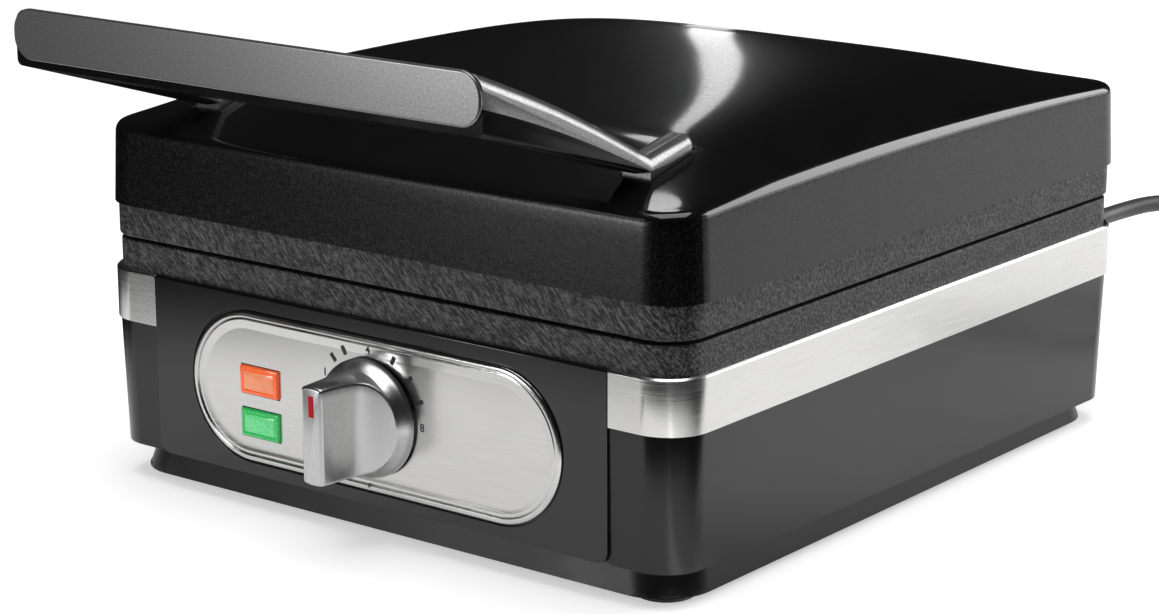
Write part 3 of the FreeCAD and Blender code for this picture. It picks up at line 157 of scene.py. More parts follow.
class Finish(Nodes):
    """A material made of nodes round one Principled shader."""

    def __init__(self, name, **shader_values):
        self.material = bpy.data.materials.new(name)
        self.material.use_nodes = True
        super().__init__(self.material.node_tree)
        self.shader = self.tree.nodes["Principled BSDF"]
        self.place = self.node("TexCoord", {}, {}, "Object")
        self.set(**shader_values)

    def set(self, **values):
        for name, value in values.items():
            self.feed(self.shader.inputs[name.replace("_", " ")], value)
        return self

    def noise(self, size_mm, stretch=(1, 1, 1), turn=(0, 0, 0), detail=3.0, rough=0.5):
        """Noise with grains about size_mm across, drawn out by stretch and turned."""
        turned = self.node("Mapping", {"vector_type": "POINT"}, {"Vector": self.place, "Rotation": turn})
        scaled = self.node("VectorMath", {"operation": "DIVIDE"}, {0: turned, 1: stretch})
        return self.node("TexNoise", {}, {"Vector": scaled, "Scale": 1000 / size_mm, "Detail": detail,
                                          "Roughness": rough})

    def bump(self, height, depth_mm, strength=1.0):
        normal = self.node("Bump", {}, {"Strength": strength, "Distance": depth_mm * MM, "Height": height})
        return self.set(Normal=normal)


def shade(level, tint=0.0):
    """A grey of the given level, slightly blue with a positive tint."""
    return (level * (1 - tint), level, level * (1 + tint), 1)


def plastic(name, level, grain_mm=0.5, roughness=0.45, relief_mm=0.02, tint=0.01, spread=0.2,
            **shader_values):
    """Moulded plastic with a fine grain in its colour, gloss and surface."""
    finish = Finish(name, **shader_values)
    grain = finish.noise(grain_mm, detail=4)
    cloud = finish.noise(22, detail=2)
    low, high = [shade(level * (1 + side * spread), tint) for side in (-1, 1)]
    finish.set(Base_Color=finish.mix(grain, low, high),
               Roughness=finish.ramp(cloud, 0.3, 0.7, roughness - 0.04, roughness + 0.04))
    return finish.bump(grain, relief_mm, 0.35)


cord_finish = plastic("cord PVC", 0.055, grain_mm=0.8, roughness=0.42, relief_mm=0.03)
curve = bpy.data.curves.new("mains_lead", "CURVE")
curve.dimensions = "3D"
route = [(OUTLET[0] + x, OUTLET[1] + y, z) for x, y, z in CORD_STEPS] + coil_points()
route.append(tuple(last + step for last, step in zip(route[-1], PLUG_STEP)))
spline = curve.splines.new("NURBS")
spline.points.add(len(route) - 1)
for point, place in zip(spline.points, route):
    point.co = (*[c * MM for c in place], 1)
spline.order_u = 3
spline.use_endpoint_u = True
spline.resolution_u = 6
curve.bevel_depth = CORD_D / 2 * MM
curve.bevel_resolution = 6
curve.use_fill_caps = True
lead = bpy.data.objects.new("mains_lead", curve)
bpy.context.scene.collection.objects.link(lead)
curve.materials.append(cord_finish.material)
lead.visible_glossy = False           # the stored coil would smudge the steel band's gloss
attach(lead, "base")
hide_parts("mains_cord", "cord_coil")


# Strain relief and plug: black nylon, moulded onto the cord. The relief's tapered sleeve
# is clipped into the housing's rear wall; the plug holds two nickel-plated brass pins.
def finish_nodes(finish, *nodes):
    """Gives the frame's own objects this finish."""
    for node in nodes:
        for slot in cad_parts[node].material_slots:
            slot.material = finish.material


black_nylon = plastic("black nylon", 0.03, grain_mm=0.5, roughness=0.45, relief_mm=0.02)
finish_nodes(black_nylon, "cord_gland", "plug_body")
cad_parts["plug_body"].visible_glossy = False
pin_metal = Finish("pin brass", Metallic=1.0)
tarnish = pin_metal.noise(5, detail=3)
pin_metal.set(Base_Color=pin_metal.mix(tarnish, (0.62, 0.62, 0.60, 1), (0.74, 0.74, 0.72, 1)),
              Roughness=pin_metal.ramp(tarnish, 0.3, 0.7, 0.2, 0.32))
finish_nodes(pin_metal, "plug_pins")


# Studio: a white table under a large soft light, a small low one at the front left for the
# grip, a broad one behind on the right that edges the lid, and far behind on the left a
# thin strip and a round one, which the glossy lid mirrors.
def softbox(name, place, target, width, height, power, roll=0.0, shape="RECTANGLE"):
    lamp = bpy.data.lights.new(name, "AREA")
    lamp.shape = shape
    lamp.size, lamp.size_y = width, height
    lamp.energy = power
    lamp_object = bpy.data.objects.new(name, lamp)
    aim = (Vector(target) - Vector(place)).to_track_quat("-Z", "Y").to_matrix().to_4x4()
    lamp_object.matrix_world = (Matrix.Translation(place) @ aim
                                @ Matrix.Rotation(math.radians(roll), 4, "Z"))
    lamp_object.visible_camera = False
    bpy.context.scene.collection.objects.link(lamp_object)


softbox("overhead", place=(0.1, -0.1, 1.9), target=(0.0, 0.0, 0.1), width=1.6, height=1.6, power=26)
softbox("front_left", place=(-0.42, -0.97, 0.21), target=(0.1, -0.2, 0.2), width=0.18, height=0.28,
        power=1.85)
softbox("rear_right", place=(1.20, 2.0, 0.90), target=(0.15, 0.0, 0.12), width=1.3, height=1.4, power=27)
softbox("strip", place=(-6.92, 9.85, 2.7), target=(0.0, 0.02, 0.16), width=0.20, height=5.3, power=6.1,
        roll=-1.8)
softbox("rear_left", place=(-5.24, 6.36, 5.8), target=(0.0, 0.0, 0.16), width=1.2, height=1.2, power=12,
        shape="ELLIPSE")

# The room is white to the camera, dim to what it lights and dark to what is polished.
world = bpy.data.worlds.new("studio")
bpy.context.scene.world = world
world.use_nodes = True
room = Nodes(world.node_tree)
DARK_ROOM, DIM_ROOM, WHITE_ROOM = shade(0.008), shade(0.16), shade(1.0)
unseen = room.mix(room.node("LightPath", {}, {}, "Is Diffuse Ray"), DARK_ROOM, DIM_ROOM)
walls = room.mix(room.node("LightPath", {}, {}, "Is Camera Ray"), unseen, WHITE_ROOM)
room.feed(world.node_tree.nodes["Background"].inputs["Color"], walls)

# The table lies just below the feet. What is polished sees it pale in two patches, one in
# front and one on the right, and sees the thin strip's light run on across it.
TABLE_HALF, TABLE_DROP = 6.0, 0.0002
table_mesh = bmesh.new()
bmesh.ops.create_grid(table_mesh, x_segments=1, y_segments=1, size=TABLE_HALF)
table_data = bpy.data.meshes.new("floor")
table_mesh.to_mesh(table_data)
table_mesh.free()
table = bpy.data.objects.new("floor", table_data)
table.location.z = -TABLE_DROP
bpy.context.scene.collection.objects.link(table)
table_white = Finish("white table", Roughness=0.9, Specular_IOR_Level=0.0)
by_camera = table_white.node("LightPath", {}, {}, "Is Camera Ray")
by_gloss = table_white.node("LightPath", {}, {}, "Is Glossy Ray")


def pale_patch(centre, stretch, near, far):
    """Bright within near of the centre, dark beyond far; stretch squeezes an axis."""
    moved = table_white.node("VectorMath", {"operation": "SUBTRACT"}, {0: table_white.place, 1: centre})
    scaled = table_white.node("VectorMath", {"operation": "MULTIPLY"}, {0: moved, 1: stretch})
    away = table_white.node("VectorMath", {"operation": "LENGTH"}, {0: scaled}, "Value")
    return table_white.ramp(away, near, far, 1.0, 0.0)


def distance(way):
    """How far a point of the table lies along a level direction."""
    sockets = {0: table_white.place, 1: way}
    return table_white.node("VectorMath", {"operation": "DOT_PRODUCT"}, sockets, "Value")


front_patch = pale_patch(centre=(-0.03, -0.22, 0), stretch=(1, 2, 1), near=0.26, far=0.46)
right_patch = (pale_patch(centre=(0.9, 0.9, 0), stretch=(1, 1, 1), near=1.14, far=1.34)
               * table_white.ramp(distance((-0.719, 0.695, 0)), -0.27, -0.225))
lit = front_patch.or_more(right_patch)
STREAK_SIDE, STREAK_SPREAD = 0.048, 0.0075
across, along = distance((0.818, 0.576, 0)), distance((-0.576, 0.818, 0))
streak = table_white.ramp(abs(across - STREAK_SIDE) - along * STREAK_SPREAD, 0.004, 0.014, 1.0, 0.0)
TABLE_WHITE, TABLE_DARK = shade(0.9), shade(0.03)
CAMERA_GLOW, PATCH_GLOW, STREAK_GLOW = 0.5, 0.32, 0.9
mirrored = table_white.mix(lit, TABLE_DARK, TABLE_WHITE)
mirror_glow = lit * PATCH_GLOW + streak * STREAK_GLOW
table_white.set(Base_Color=table_white.mix(by_gloss, TABLE_WHITE, mirrored), Emission_Color=shade(1.0),
                Emission_Strength=by_camera * CAMERA_GLOW + by_gloss * mirror_glow)
table_data.materials.append(table_white.material)


# Lid: one glossy black ABS moulding. A steep slope at the front meets a shallow dome in a
# faint crease, the rim is rounded and the side walls carry a fine spark texture. Two
# sloping pockets take the handle's feet.
band_low, band_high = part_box("steel_band")
HALF_W = (band_high[0] - band_low[0]) / 2 / MM
HALF_D = (band_high[1] - band_low[1]) / 2 / MM
LID_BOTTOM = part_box("lid_shell")[0][2] / MM
LID_DRAFT, LID_WALL, LID_SEAM = 0.045, 2.6, 0.5
RIM_UP = 33.2                                       # the rim above the lid's lower edge
RIM_Z = LID_BOTTOM + RIM_UP
RIM_X, RIM_Y = HALF_W - LID_DRAFT * RIM_UP, HALF_D - LID_DRAFT * RIM_UP
RIM_CORNER, RIM_ROUND = 17.2, 4.2
RIM_RISE, RIM_TOP_Y = 4.3, 25.0                     # the side rims arch up towards this place
RIM_FRONT_RUN, RIM_REAR_RUN, RIM_REAR_FALL = 191.0, 141.0, 2.9
CREASE_Y, CREASE_RISE, CREASE_BLEND = -108.0, 16.3, 0.8
CREASE_CUTS = (-4.2, -2.8, -1.4, 0.7, 2.1, 3.5)     # finer mesh on both sides of the crease
DOME_RISE, DOME_Y, REAR_FALL = 19.4, 10.0, 18.3
FRONT_POWER, POWER_LOSS = 8.0, 4.8                  # how late the dome falls to the side rims
POCKET_X, POCKET_HALF, POCKET_Y = 110.0, 7.4, (-139.9, -109.1)
POCKET_FLOOR, POCKET_SLOPE, POCKET_SINK = (-139.0, 155.0), 0.27, 0.4
POCKET_ROUND, LIP_SHARP = 0.7, 50.0
GRID_STEP, CUT_GAP, EDGE_GAP = 3.0, 1.3, 1.0
RIM_STEPS, WALL_STEPS, GLOSS_STEPS = 7, 6, 5        # the texture starts low on the rim


def lid_height(x, y):
    """Height of the lid's top: between the line along its middle and its side rims."""
    front = RIM_Z + CREASE_RISE * (y + RIM_Y) / (CREASE_Y + RIM_Y)
    if y < DOME_Y:
        dome = RIM_Z + DOME_RISE - (DOME_RISE - CREASE_RISE) * ((DOME_Y - y) / (DOME_Y - CREASE_Y)) ** 2
    else:
        dome = RIM_Z + DOME_RISE - REAR_FALL * ((y - DOME_Y) / (HALF_D - DOME_Y)) ** 3
    low, high = min(front, dome), max(front, dome)
    ridge = low - CREASE_BLEND * math.log(1 + math.exp((low - high) / CREASE_BLEND))
    if y < RIM_TOP_Y:
        fall = RIM_RISE * ((RIM_TOP_Y - y) / RIM_FRONT_RUN) ** 2
    else:
        fall = RIM_REAR_FALL * ((y - RIM_TOP_Y) / RIM_REAR_RUN) ** 2
    rim = RIM_Z + RIM_RISE - fall
    power = FRONT_POWER - POWER_LOSS * (y + HALF_D) / (2 * HALF_D)
    return rim + (ridge - rim) * (1 - (abs(x) / RIM_X) ** power)


def rounded_sheet(mesh, half_x, half_y, corner, steps=8):
    """Flat face with four rounded corners."""
    square = bmesh.ops.create_grid(mesh, x_segments=1, y_segments=1, size=1,
                                   matrix=Matrix.Diagonal((half_x, half_y, 1, 1)))
    bmesh.ops.bevel(mesh, geom=square["verts"], offset=corner, segments=steps, profile=0.5,
                    affect="VERTICES", material=-1)


def slice_mesh(mesh, axis, places):
    """Cuts the mesh across the axis, 0 for x and 1 for y, at each of the places."""
    normal = Vector((axis == 0, axis == 1, 0))
    for place in places:
        bmesh.ops.bisect_plane(mesh, geom=mesh.verts[:] + mesh.edges[:] + mesh.faces[:], dist=1e-4,
                               plane_co=normal * place, plane_no=normal)


def outward(point, half_x, half_y, corner):
    """The corner's heart nearest to the point, and the way outward from it."""
    heart = Vector((max(min(point.x, half_x - corner), corner - half_x),
                    max(min(point.y, half_y - corner), corner - half_y), 0))
    return heart, (Vector((point.x, point.y, 0)) - heart).normalized()


def extend(mesh, ring, move):
    """Extrudes the ring of edges and moves each new point. Gives the new ring and faces."""
    grown = bmesh.ops.extrude_edge_only(mesh, edges=ring)["geom"]
    points = {part for part in grown if isinstance(part, bmesh.types.BMVert)}
    for point in points:
        point.co = move(point.co.copy())
    edges = [part for part in grown if isinstance(part, bmesh.types.BMEdge) and set(part.verts) <= points]
    return edges, [part for part in grown if isinstance(part, bmesh.types.BMFace)]


def rim_ring(mesh):
    """The edges that have a face on one side only."""
    return [edge for edge in mesh.edges if edge.is_boundary]


def make_piece(name, mesh, finishes, body, replaces=(), sharp=35.0, scale=True):
    """Makes the mesh, drawn in millimetres from the housing's middle, a finished object."""
    if scale:
        mesh.transform(Matrix.Scale(MM, 4) @ Matrix.Translation((0, MIDDLE_Y, 0)))
    data = bpy.data.meshes.new(name)
    mesh.to_mesh(data)
    mesh.free()
    if sharp:
        for polygon in data.polygons:
            polygon.use_smooth = True
        data.set_sharp_from_angle(angle=math.radians(sharp))
    for finish in finishes:
        data.materials.append(finish.material)
    piece = bpy.data.objects.new(name, data)
    bpy.context.scene.collection.objects.link(piece)
    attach(piece, body)
    if replaces:
        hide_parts(*replaces)
    return piece


lid_gloss = Finish("lid gloss", Specular_IOR_Level=0.05, Coat_Weight=1.0, Coat_Roughness=0.075)
ripple = lid_gloss.noise(26, detail=1)
peel = lid_gloss.noise(1.1, detail=2)
lid_gloss.set(Roughness=lid_gloss.ramp(peel, 0.3, 0.7, 0.24, 0.32),
              Base_Color=lid_gloss.mix(ripple, shade(0.003, 0.02), shade(0.006, 0.02)))
lid_gloss.bump(ripple + peel * 0.04, 0.05, 0.3)

lid_texture = Finish("lid spark texture", Specular_IOR_Level=0.42)
spark = lid_texture.noise(0.95, detail=3, rough=0.7)
fleck = lid_texture.ramp(spark, 0.52, 0.68)
lid_texture.set(Base_Color=lid_texture.mix(fleck, shade(0.001, 0.02), shade(0.014, 0.02)),
                Roughness=lid_texture.ramp(spark, 0.3, 0.7, 0.22, 0.34))
lid_texture.bump(spark, 0.08, 0.6)

lid_mesh = bmesh.new()
sheet_x, sheet_y = RIM_X - RIM_ROUND, RIM_Y - RIM_ROUND
sheet_corner = RIM_CORNER - RIM_ROUND
rounded_sheet(lid_mesh, sheet_x, sheet_y, sheet_corner)
pocket_x = [side * (POCKET_X + edge * POCKET_HALF) for side in (-1, 1) for edge in (-1, 1)]
crease_y = [CREASE_Y + step for step in CREASE_CUTS]


def even_cuts(half, keep):
    """The places to keep and, clear of them, a cut every few millimetres."""
    count = int(half / GRID_STEP)
    cuts = [k * GRID_STEP for k in range(-count, count + 1)]
    return keep + [cut for cut in cuts
                   if abs(cut) < half - EDGE_GAP and min(abs(cut - kept) for kept in keep) > CUT_GAP]


slice_mesh(lid_mesh, 0, even_cuts(sheet_x, pocket_x))
slice_mesh(lid_mesh, 1, even_cuts(sheet_y, list(POCKET_Y) + crease_y))
for point in lid_mesh.verts:
    point.co.z = lid_height(point.co.x, point.co.y)


def lid_side(level):
    """Move for the rounded rim, level 0 to 1, and then the wall, level 1 to 2."""
    def move(point):
        heart, way = outward(point, RIM_X, RIM_Y, RIM_CORNER)
        start = heart + way * sheet_corner
        start.z = lid_height(start.x, start.y)
        back = 0.5
        inner = start - way * back
        slope = (start.z - lid_height(inner.x, inner.y)) / back
        peak = start + way * RIM_ROUND
        peak.z = start.z + slope * RIM_ROUND
        peak += way * LID_DRAFT * (RIM_Z - peak.z)
        foot = peak + way * LID_DRAFT * RIM_ROUND
        foot.z = peak.z - RIM_ROUND
        if level <= 1:
            return start * (1 - level) ** 2 + peak * 2 * level * (1 - level) + foot * level ** 2
        down = (foot.z - LID_BOTTOM - LID_SEAM) * (level - 1)
        return foot + way * LID_DRAFT * down - Vector((0, 0, down))
    return move


levels = [step / RIM_STEPS for step in range(1, RIM_STEPS + 1)]
levels += [1 + step / WALL_STEPS for step in range(1, WALL_STEPS + 1)]
ring = rim_ring(lid_mesh)
for step, level in enumerate(levels):
    ring, faces = extend(lid_mesh, ring, lid_side(level))
    for face in faces:
        face.material_index = 1 if step >= GLOSS_STEPS else 0
lip_faces = set()
for side in (-1, 1):
    inside = [face for face in lid_mesh.faces
              if abs(face.calc_center_median().x - side * POCKET_X) < POCKET_HALF
              and POCKET_Y[0] < face.calc_center_median().y < POCKET_Y[1]
              and face.calc_center_median().z > RIM_Z]
    bmesh.ops.delete(lid_mesh, geom=inside, context="FACES")
    mouth = [edge for edge in rim_ring(lid_mesh) if edge not in ring and edge.verts[0].co.x * side > 0]
    pocket_floor, _ = extend(lid_mesh, mouth, lambda point: Vector(
        (point.x, point.y, POCKET_FLOOR[1] + POCKET_SLOPE * (point.y - POCKET_FLOOR[0]) - POCKET_SINK)))
    bmesh.ops.contextual_create(lid_mesh, geom=pocket_floor)
    lips = [edge for edge in mouth if edge.is_valid]
    rounded = bmesh.ops.bevel(lid_mesh, geom=lips, offset=POCKET_ROUND, segments=3, profile=0.5,
                              affect="EDGES", material=-1)["faces"]
    for face in rounded:
        face.material_index = 1
    lip_faces.update(rounded)
bmesh.ops.recalc_face_normals(lid_mesh, faces=lid_mesh.faces)
for face in lid_mesh.faces:
    face.smooth = True
for edge in lid_mesh.edges:
    outline = len(lip_faces.intersection(edge.link_faces)) == 1
    edge.smooth = not (outline or edge.is_boundary) and edge.calc_face_angle(0) < math.radians(LIP_SHARP)
lid = make_piece("lid", lid_mesh, [lid_gloss, lid_texture], "lid", ["lid_shell"], sharp=0)
wall = lid.modifiers.new("wall", "SOLIDIFY")
wall.thickness, wall.offset = LID_WALL * MM, -1
wall.use_even_offset = True


# Collars: two rings of glass-filled phenolic on which the cooking plates seat. The resin
# leaves slanting, fibrous flow marks in the dark grey moulding. They are screwed to the
# housing and the lid from inside.
WELD, FLATTEN = 0.002, 0.4                          # millimetres, degrees
LEVEL_TURN, SOFT_TURN = 0.01, 50.0                  # radians, degrees
EASED_COSINE = 0.93                                 # of the widest turn that is eased


def ease_into_flats(data):
    """Lets each curved face start with the shading of the flat face that it leaves."""
    ways = {}
    for polygon in data.polygons:
        if not polygon.use_smooth:
            for index in polygon.vertices:
                ways.setdefault(index, []).append(polygon.normal.copy())
    shading = []
    for polygon in data.polygons:
        for index in polygon.vertices:
            near = [way for way in ways.get(index, ())
                    if polygon.use_smooth and way.dot(polygon.normal) > EASED_COSINE]
            shading.append(max(near, key=polygon.normal.dot) if near else Vector())
    data.normals_split_custom_set(shading)


def softened(node, finish, body, width, segments=3, sharp=35.0, flat_over=6.0):
    """A copy of the node's solid with small rounded edges, which stands in for it.

    Faces wider than flat_over, and those with no smooth neighbour, are shaded flat."""
    mesh = bmesh.new()
    mesh.from_mesh(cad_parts[node].data)
    flat = mesh.faces.layers.int.new("flat")
    bmesh.ops.remove_doubles(mesh, verts=mesh.verts, dist=WELD * MM)
    bmesh.ops.dissolve_limit(mesh, angle_limit=math.radians(FLATTEN), verts=mesh.verts, edges=mesh.edges)
    limit = math.radians(sharp)
    for face in mesh.faces:
        wide = 2 * face.calc_area() > flat_over * MM * face.calc_perimeter()
        turns = [edge.calc_face_angle(math.pi) for edge in face.edges]
        face[flat] = wide or all(turn < LEVEL_TURN or turn > limit for turn in turns)
    if width:
        edges = [edge for edge in mesh.edges if edge.calc_face_angle(0) > limit]
        rounded = bmesh.ops.bevel(mesh, geom=edges, offset=width * MM, segments=segments, profile=0.5,
                                  clamp_overlap=True, affect="EDGES", material=-1)
        for face in rounded["faces"]:
            face[flat] = 0
    for face in mesh.faces:
        face.smooth = not face[flat]
    for edge in mesh.edges:
        edge.smooth = edge.calc_face_angle(0) < math.radians(SOFT_TURN)
    mesh.faces.layers.int.remove(flat)
    piece = make_piece(node + "_finished", mesh, [finish], body, [node], sharp=0, scale=False)
    ease_into_flats(piece.data)


def phenolic(name, slant):
    """Dark resin with pale fibres that lie along the slant, in radians, and some across."""
    finish = Finish(name, Specular_IOR_Level=0.35)
    fibre = finish.noise(1.0, stretch=(1, 1, 4.5), turn=(0.0, slant, slant), detail=4, rough=0.75)
    cross = finish.noise(0.8, stretch=(1, 1, 3.0), turn=(0.0, slant + 0.7, slant - 0.5), rough=0.7)
    cloud = finish.noise(24, detail=2)
    flecks = finish.ramp(fibre * 0.7 + cross * 0.3, 0.45, 0.63)
    thinned = flecks * finish.ramp(cloud, 0.3, 0.7, 0.75, 1.0)
    finish.set(Base_Color=finish.mix(thinned, shade(0.006), shade(0.17)),
               Roughness=finish.ramp(fibre, 0.3, 0.7, 0.55, 0.4))
    return finish.bump(fibre + cross, 0.12, 0.7)


softened("lower_collar", phenolic("lower collar phenolic", 0.9), "base", width=0.25)
softened("upper_collar", phenolic("upper collar phenolic", 0.7), "lid", width=0.25)


# Band: stainless strip 1.2 mm thick, brushed along its length and clipped round the top
# of the housing. Its upper edge is turned over in a bright bevel.
STEEL_TINT, SCRATCH_SHADE = -0.008, 0.84


def brushed(name, level, stretch, roughness):
    """Brushed stainless whose scratches run along the long side of stretch."""
    finish = Finish(name, Metallic=1.0)
    line = finish.noise(0.5, stretch=stretch, detail=4, rough=0.6)
    cloud = finish.noise(40, detail=2)
    wear = line * 0.7 + cloud * 0.3
    finish.set(Base_Color=finish.mix(finish.ramp(line, 0.3, 0.7), shade(level * SCRATCH_SHADE, STEEL_TINT),
                                     shade(level, STEEL_TINT)),
               Roughness=finish.ramp(wear, 0.3, 0.7, roughness - 0.06, roughness + 0.08))
    return finish.bump(line, 0.02, 0.4)


band_steel = brushed("band steel", 0.74, stretch=(60, 60, 1), roughness=0.24)
softened("steel_band", band_steel, "base", width=0.3)


# Housing, plinth and feet: satin black ABS tub that narrows towards the table, screwed to
# a shallow plinth of the same plastic that stands on four rubber feet.
body_satin = plastic("body ABS", 0.005, grain_mm=0.6, roughness=0.22, relief_mm=0.02, spread=0.8,
                     Specular_IOR_Level=0.48)
softened("base_housing", body_satin, "base", width=0.5)
plinth_satin = plastic("plinth ABS", 0.006, grain_mm=0.6, roughness=0.36, Specular_IOR_Level=0.4)
softened("bottom_cover", plinth_satin, "base", width=0.8)
foot_rubber = plastic("foot rubber", 0.03, grain_mm=0.7, roughness=0.7, relief_mm=0.05)
softened("rubber_feet", foot_rubber, "base", width=0.6)


# Fascia: an ABS moulding, a little glossier than the housing, that fills the housing's
# front between the band's two ends. It is clipped in from the front with a fine gap round it.
fascia_satin = Finish("fascia ABS", Specular_IOR_Level=0.6)
fascia_grain = fascia_satin.noise(0.45, detail=4)
fascia_satin.set(Base_Color=fascia_satin.mix(fascia_grain, shade(0.002, 0.02), shade(0.010, 0.02)),
                 Roughness=fascia_satin.ramp(fascia_grain, 0.3, 0.7, 0.13, 0.19))
fascia_satin.bump(fascia_grain, 0.015, 0.3)
softened("control_fascia", fascia_satin, "base", width=0.7, segments=4)


# Control plate: pressed stainless with round ends, brushed along its length, with a double
# raised rim round its edge and two windows for the lamps. It is glued on the fascia.
plate_low, plate_high = [Vector(corner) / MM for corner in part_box("control_plate")]
PLATE_X, PLATE_HALF_Z = (plate_high.x - plate_low.x) / 2, (plate_high.z - plate_low.z) / 2
PLATE_T = 1.2
PLATE_Z, PLATE_FACE = (plate_low.z + plate_high.z) / 2, plate_high.y - MIDDLE_Y - PLATE_T
PLATE_RIM = ((7.2, 0.0), (6.2, 0.09), (5.0, 0.26), (4.2, 0.42), (3.7, 0.5), (3.3, 0.5), (2.95, 0.4),
             (2.75, 0.24), (2.6, 0.24), (2.45, 0.7), (2.25, 0.86), (1.9, 0.9), (1.4, 0.86), (0.9, 0.74),
             (0.45, 0.54), (0.12, 0.3), (0.0, 0.1), (0.0, -PLATE_T))  # inset from the edge, height
WINDOW_EDGE, END_STEPS, HAIR = 0.6, 28, 0.01
PRESSED_TURN = 1.1                                  # radians
lens_boxes = {node: [Vector(corner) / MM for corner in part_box(node)]
              for node in ("power_lens", "ready_lens")}
plate_mesh = bmesh.new()
field_z = PLATE_HALF_Z - PLATE_RIM[0][0]
rounded_sheet(plate_mesh, PLATE_X - PLATE_RIM[0][0], field_z, field_z - HAIR, steps=END_STEPS)
for low, high in lens_boxes.values():
    slice_mesh(plate_mesh, 0, (low.x - WINDOW_EDGE, high.x + WINDOW_EDGE))
    slice_mesh(plate_mesh, 1, (low.z - PLATE_Z - WINDOW_EDGE, high.z - PLATE_Z + WINDOW_EDGE))
rim = rim_ring(plate_mesh)


def rim_step(inset, height):
    def move(point):
        heart, way = outward(point, PLATE_X, PLATE_HALF_Z, PLATE_HALF_Z)
        return heart + way * (PLATE_HALF_Z - inset) + Vector((0, 0, height))
    return move


for step in PLATE_RIM[1:]:
    rim, faces = extend(plate_mesh, rim, rim_step(*step))
    for face in faces:
        face.smooth = True
windows = [face for face in plate_mesh.faces for low, high in lens_boxes.values()
           if low.x < face.calc_center_median().x < high.x
           and low.z - PLATE_Z < face.calc_center_median().y < high.z - PLATE_Z]
bmesh.ops.delete(plate_mesh, geom=windows, context="FACES")
for edge in plate_mesh.edges:
    edge.smooth = edge.calc_face_angle(0) < PRESSED_TURN
plate_mesh.transform(Matrix.Translation((0, PLATE_FACE, PLATE_Z)) @ Matrix.Rotation(math.pi / 2, 4, "X"))
plate_steel = brushed("plate steel", 0.68, stretch=(50, 1, 1), roughness=0.18)
make_piece("plate", plate_mesh, [plate_steel], "base", ["control_plate"], sharp=0)


# Lamp lenses: an orange and a green one of coloured acrylic, each with a raised frame round
# a paler ribbed window. They snap into black sockets behind the plate.
SOCKET_SPREAD, SOCKET_DEPTH, SOCKET_BACK = 3.0, 1.6, 0.5
LENS_COLOURS = (("power_lens", "lens_orange", (0.90, 0.11, 0.02, 1), (1.0, 0.36, 0.17, 1)),
                ("ready_lens", "lens_green", (0.015, 0.42, 0.08, 1), (0.17, 0.85, 0.33, 1)))
socket_mesh = bmesh.new()
for low, high in lens_boxes.values():
    size = high - low + Vector((SOCKET_SPREAD, 0, SOCKET_SPREAD))
    size.y = SOCKET_DEPTH
    middle = (low + high) / 2
    middle.y = PLATE_FACE + SOCKET_BACK + SOCKET_DEPTH / 2
    bmesh.ops.create_cube(socket_mesh, size=1,
                          matrix=Matrix.Translation(middle) @ Matrix.Diagonal((*size, 1)))
socket_black = plastic("socket ABS", 0.006, grain_mm=0.5, roughness=0.4)
make_piece("lens_sockets", socket_mesh, [socket_black], "base")

for node, slot, colour, pale in LENS_COLOURS:
    low, high = lens_boxes[node]
    size, centre = high - low, (low + high) / 2 - Vector((0, MIDDLE_Y, 0))
    lens_mesh = bmesh.new()
    bmesh.ops.create_cube(lens_mesh, size=1,
                          matrix=Matrix.Translation(centre) @ Matrix.Diagonal((*size, 1)))
    front = [face for face in lens_mesh.faces if face.normal.y < -0.5]
    bmesh.ops.bevel(lens_mesh, geom=list(front[0].edges), offset=0.5, segments=2, profile=0.5,
                    affect="EDGES", material=-1)
    front = [face for face in lens_mesh.faces if face.normal.y < -0.99]
    bmesh.ops.inset_region(lens_mesh, faces=front, thickness=1.0)
    bmesh.ops.inset_region(lens_mesh, faces=front, thickness=0.5, depth=-0.45)
    bmesh.ops.inset_region(lens_mesh, faces=front, thickness=0.6, depth=0.25)
    front[0].material_index = 1
    finishes = []
    # Each lens's frame and window get a painted glow by emission, the frame more than the window, which
    # brightens their colour; nothing behind the lenses gives light.
    for part, roughness, light, painted_glow, least, most in (("frame", 0.08, colour, 0.38, 0.0, 0.55),
                                                      ("window", 0.3, pale, 0.24, 0.45, 1.0)):
        lens = Finish(slot.replace("_", " ") + " " + part, Roughness=roughness, Coat_Weight=0.5,
                      Coat_Roughness=0.05, Emission_Color=light, Emission_Strength=painted_glow)
        ribs = lens.noise(0.8, stretch=(1, 1, 1.4), detail=3)
        lens.set(Base_Color=lens.mix(lens.ramp(ribs, 0.35, 0.65, least, most), colour, pale))
        finishes.append(lens.bump(ribs, 0.08, 0.4))
    make_piece(node + "_cap", lens_mesh, finishes, "base", [node])


# Dial marks: ticks, three plain numbers and the off dot, screen printed on the plate in a
# thin layer of black ink round the knob.
ink = plastic("panel ink", 0.02, grain_mm=0.3, roughness=0.5, relief_mm=0.01)
knob_low, knob_high = [Vector(corner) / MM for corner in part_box("temperature_knob")]
KNOB_Z = (knob_low.z + knob_high.z) / 2
TICK_INNER, TICK_LONG, TICK_W, INK_T = 26.2, 3.9, 1.8, 0.06
TICK_ANGLES, NUMBER_ANGLES = (-41, -27, 27, 48, 68), (("1", -58), ("4", 0), ("8", 89))
NUMBER_SIZE, NUMBER_WEIGHT, NUMBER_REACH = 4.6, 0.1, TICK_INNER + 1.0
DOT_R, DOT_REACH = 0.9, TICK_INNER + 1.6


def printed(mesh):
    """Lays the print on the plate, whose edge rises towards its rim."""
    for point in mesh.verts:
        inset = PLATE_HALF_Z - abs(point.co.z - PLATE_Z)
        for (far, low), (near, high) in zip(PLATE_RIM, PLATE_RIM[1:]):
            if near < inset <= far:
                point.co.y -= low + (high - low) * (far - inset) / (far - near) + INK_T / 2


